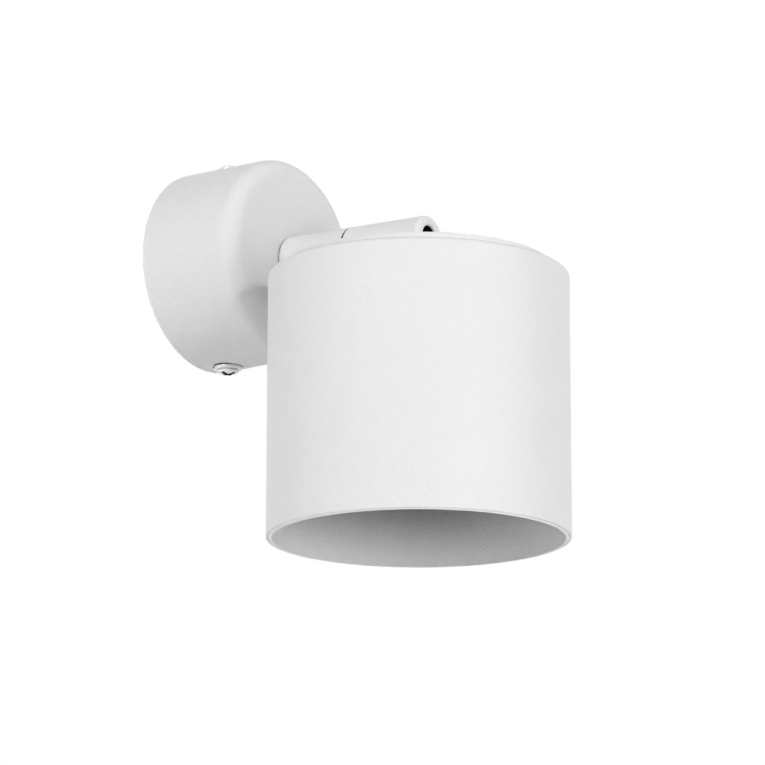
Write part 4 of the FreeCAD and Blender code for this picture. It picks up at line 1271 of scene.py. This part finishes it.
@dataclass
class Lamp(Assembly):
    """Flat twist lamp: a ribbed housing and an opal disc."""

    PLACE = Place.SHADE
    BODY = Body.LAMP

    back: float = 50.2
    depth: float = 18.0
    radius: float = 37.5
    wall: float = 1.5
    boss_radius: float = 21.5
    boss_height: float = 11.0
    disc_radius: float = 34.0
    disc_play: float = 0.2
    disc_seat: float = 2.0

    def build(self) -> None:
        """Build the lamp's pieces."""
        self.housing()
        self.disc()

    def housing(self) -> None:
        """Housing with grip notches round its side and a boss on its back."""
        front = self.back + self.depth
        seat = front - self.disc_seat
        floor = self.back + self.wall
        boss_top = self.back - self.boss_height
        recess = self.disc_radius + self.disc_play
        inner = self.disc_radius - self.wall
        boss_inner = self.boss_radius - self.wall
        blank = Blank.turned([
            (0, boss_top), (self.boss_radius, boss_top, 1.2), (self.boss_radius, self.back),
            (self.radius, self.back, 2.0), (self.radius, front, 0.7), (recess, front, 0.3),
            (recess, seat), (inner, seat), (inner, floor), (boss_inner, floor),
            (boss_inner, boss_top + self.wall), (0, boss_top + self.wall),
        ], segments=192)
        notch = Blank.turned([(0, 0), (0.7, 0.7), (0.7, 11.3), (0, 12)], segments=16)
        notch.moved(shift(self.radius - 0.1, 0, self.back + 3.0))
        blank.carved(notch.ringed(24))
        self.finish(blank, "lamp_body", "lamp_housing", "white_plastic")

    def disc(self) -> None:
        """Opal disc, slightly domed."""
        front = self.back + self.depth
        seat = front - self.disc_seat
        blank = Blank.turned([
            (0, seat), (self.disc_radius, seat), (self.disc_radius, front - 0.1, 0.4),
            (29.0, front + 0.75, 3.0), (16.0, front + 1.4, 6.0), (0, front + 1.6),
        ], segments=192, steps=8)
        self.finish(blank, "lamp_lens", "lamp_diffuser", "opal")


@dataclass(frozen=True)
class Softbox:
    """Square soft light, placed by its angles in degrees from the camera's direction."""

    name: str
    right: float
    up: float
    width: float
    power: float
    mirrored: bool = True

    def way(self) -> Vector:
        """Work out the direction to the light.

        Returns:
            A vector of length 1 in the camera's frame.
        """
        right, up = math.radians(self.right), math.radians(self.up)
        return Vector((math.sin(right) * math.cos(up), math.sin(up),
                       math.cos(right) * math.cos(up)))


SOFTBOXES = (
    Softbox("front_left", -42.0, 32.0, 0.6, 13.2),
    Softbox("front_right", 28.0, 17.0, 0.2, 7.6),
    Softbox("front_low", 36.0, 2.0, 0.5, 5.9),
    Softbox("side_left", -78.0, 8.0, 0.6, 3.4),
    Softbox("low_right", 66.0, -50.0, 0.6, 22.0),
    Softbox("top_fill", -40.0, 70.0, 1.2, 8.3),
    Softbox("left_low", -75.0, -30.0, 1.2, 9.5),
    Softbox("right_fill", 60.0, 0.0, 1.2, 11.0),
    Softbox("right_high", 90.0, 30.0, 1.2, 3.0),
    Softbox("back_right", 155.0, 10.0, 1.2, 8.0, mirrored=False),
    Softbox("back_left", -155.0, 15.0, 1.2, 8.0, mirrored=False),
)


@dataclass
class Studio:
    """Camera at the photograph's angle, pale surroundings and soft lights.

    Lengths are in metres, apart from the sensor's width, and angles in radians.
    """

    place: Point = (-1.06315, -0.874975, -0.370529)
    yaw: float = -0.926227
    pitch: float = 0.236949
    roll: float = 0.0018795
    focal_pixels: float = 4122.0
    image_pixels: float = 765.0
    sensor_width: float = 36.0
    aim: Point = (0.0, -0.07, -0.03)
    light_distance: float = 2.0
    floor_level: float = -1.5
    floor_half: float = 12.0
    floor_glow: float = 0.75
    ambient: float = 0.08

    def build(self) -> None:
        """Build the studio."""
        self.camera()
        self.surroundings()
        self.floor()
        for softbox in SOFTBOXES:
            self.light(softbox)

    def camera_turn(self) -> Matrix:
        """Work out the turn of the camera.

        Returns:
            Its right, up and backward axes as columns.
        """
        forward = Vector((-math.sin(self.yaw) * math.cos(self.pitch),
                          math.cos(self.yaw) * math.cos(self.pitch), math.sin(self.pitch)))
        right = Vector((math.cos(self.yaw), math.sin(self.yaw), 0.0))
        up = right.cross(forward)
        level = Matrix((right, up, -forward)).transposed().to_4x4()
        return level @ Matrix.Rotation(self.roll, 4, "Z")

    def camera(self) -> None:
        """Camera of the photograph."""
        data = bpy.data.cameras.new("camera")
        data.sensor_fit = "HORIZONTAL"
        data.sensor_width = self.sensor_width
        data.lens = self.focal_pixels / self.image_pixels * data.sensor_width
        data.clip_start, data.clip_end = 0.05, 50.0
        camera = linked("camera", data)
        camera.matrix_world = shift(*self.place) @ self.camera_turn()
        bpy.context.scene.camera = camera

    def surroundings(self) -> None:
        """World that looks white and lights the object at a plain level."""
        world = bpy.data.worlds.new("studio")
        bpy.context.scene.world = world
        graph = Graph(world)
        seen = graph.rays_that_look()
        shader = graph.node("ShaderNodeBackground", {
            "Color": (1.0, 1.0, 1.0), "Strength": seen * (1 - self.ambient) + self.ambient})
        graph.node("ShaderNodeOutputWorld", {"Surface": shader.outputs[0]})

    def floor(self) -> None:
        """Pale floor, a little uneven in tone, that keeps its shadows."""
        material = bpy.data.materials.new("pale_floor")
        graph = Graph(material)
        cloud = graph.noise(graph.place(), 400.0, 3.0)
        glow = graph.rays_that_look() * self.floor_glow
        graph.surface(Base_Color=graph.blend(cloud, (0.86, 0.86, 0.86), (0.9, 0.9, 0.9)),
                      Roughness=0.8, Emission_Strength=1.0,
                      Emission_Color=graph.blend(glow, (0.0, 0.0, 0.0), (1.0, 1.0, 1.0)))
        # Unlike the object's pieces, the floor is made in metres.
        blank = Blank()
        bmesh.ops.create_grid(blank.form, x_segments=1, y_segments=1, size=self.floor_half)
        mesh = blank.moved(shift(0, 0, self.floor_level)).mesh("floor")
        mesh.materials.append(material)
        linked("floor", mesh)

    def light(self, softbox: Softbox) -> None:
        """Hang one soft light, aimed at the object.

        Args:
            softbox: Place, size and power of the light.
        """
        data = bpy.data.lights.new(softbox.name, "AREA")
        data.shape = "SQUARE"
        data.size = softbox.width
        data.energy = softbox.power
        way = self.camera_turn().to_3x3() @ softbox.way()
        light = linked(softbox.name, data)
        light.visible_glossy = softbox.mirrored
        light.matrix_world = (shift(*(Vector(self.aim) + way * self.light_distance))
                              @ way.to_track_quat("Z", "Y").to_matrix().to_4x4())


def main() -> None:
    """Build the lamp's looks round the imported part."""
    logging.basicConfig(level=logging.INFO, format="%(message)s")
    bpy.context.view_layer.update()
    bpy.context.scene.view_settings.view_transform = "Standard"
    Studio().build()
    finishes = {key: finish.material() for key, finish in FINISHES.items()}
    dress_frame(finishes)
    for assembly in (Canopy, Arm, Shade, Holder, Lamp):
        assembly(finishes).build()
        log.info("%s is built", assembly.__name__)


if __name__ == "__main__":
    main()
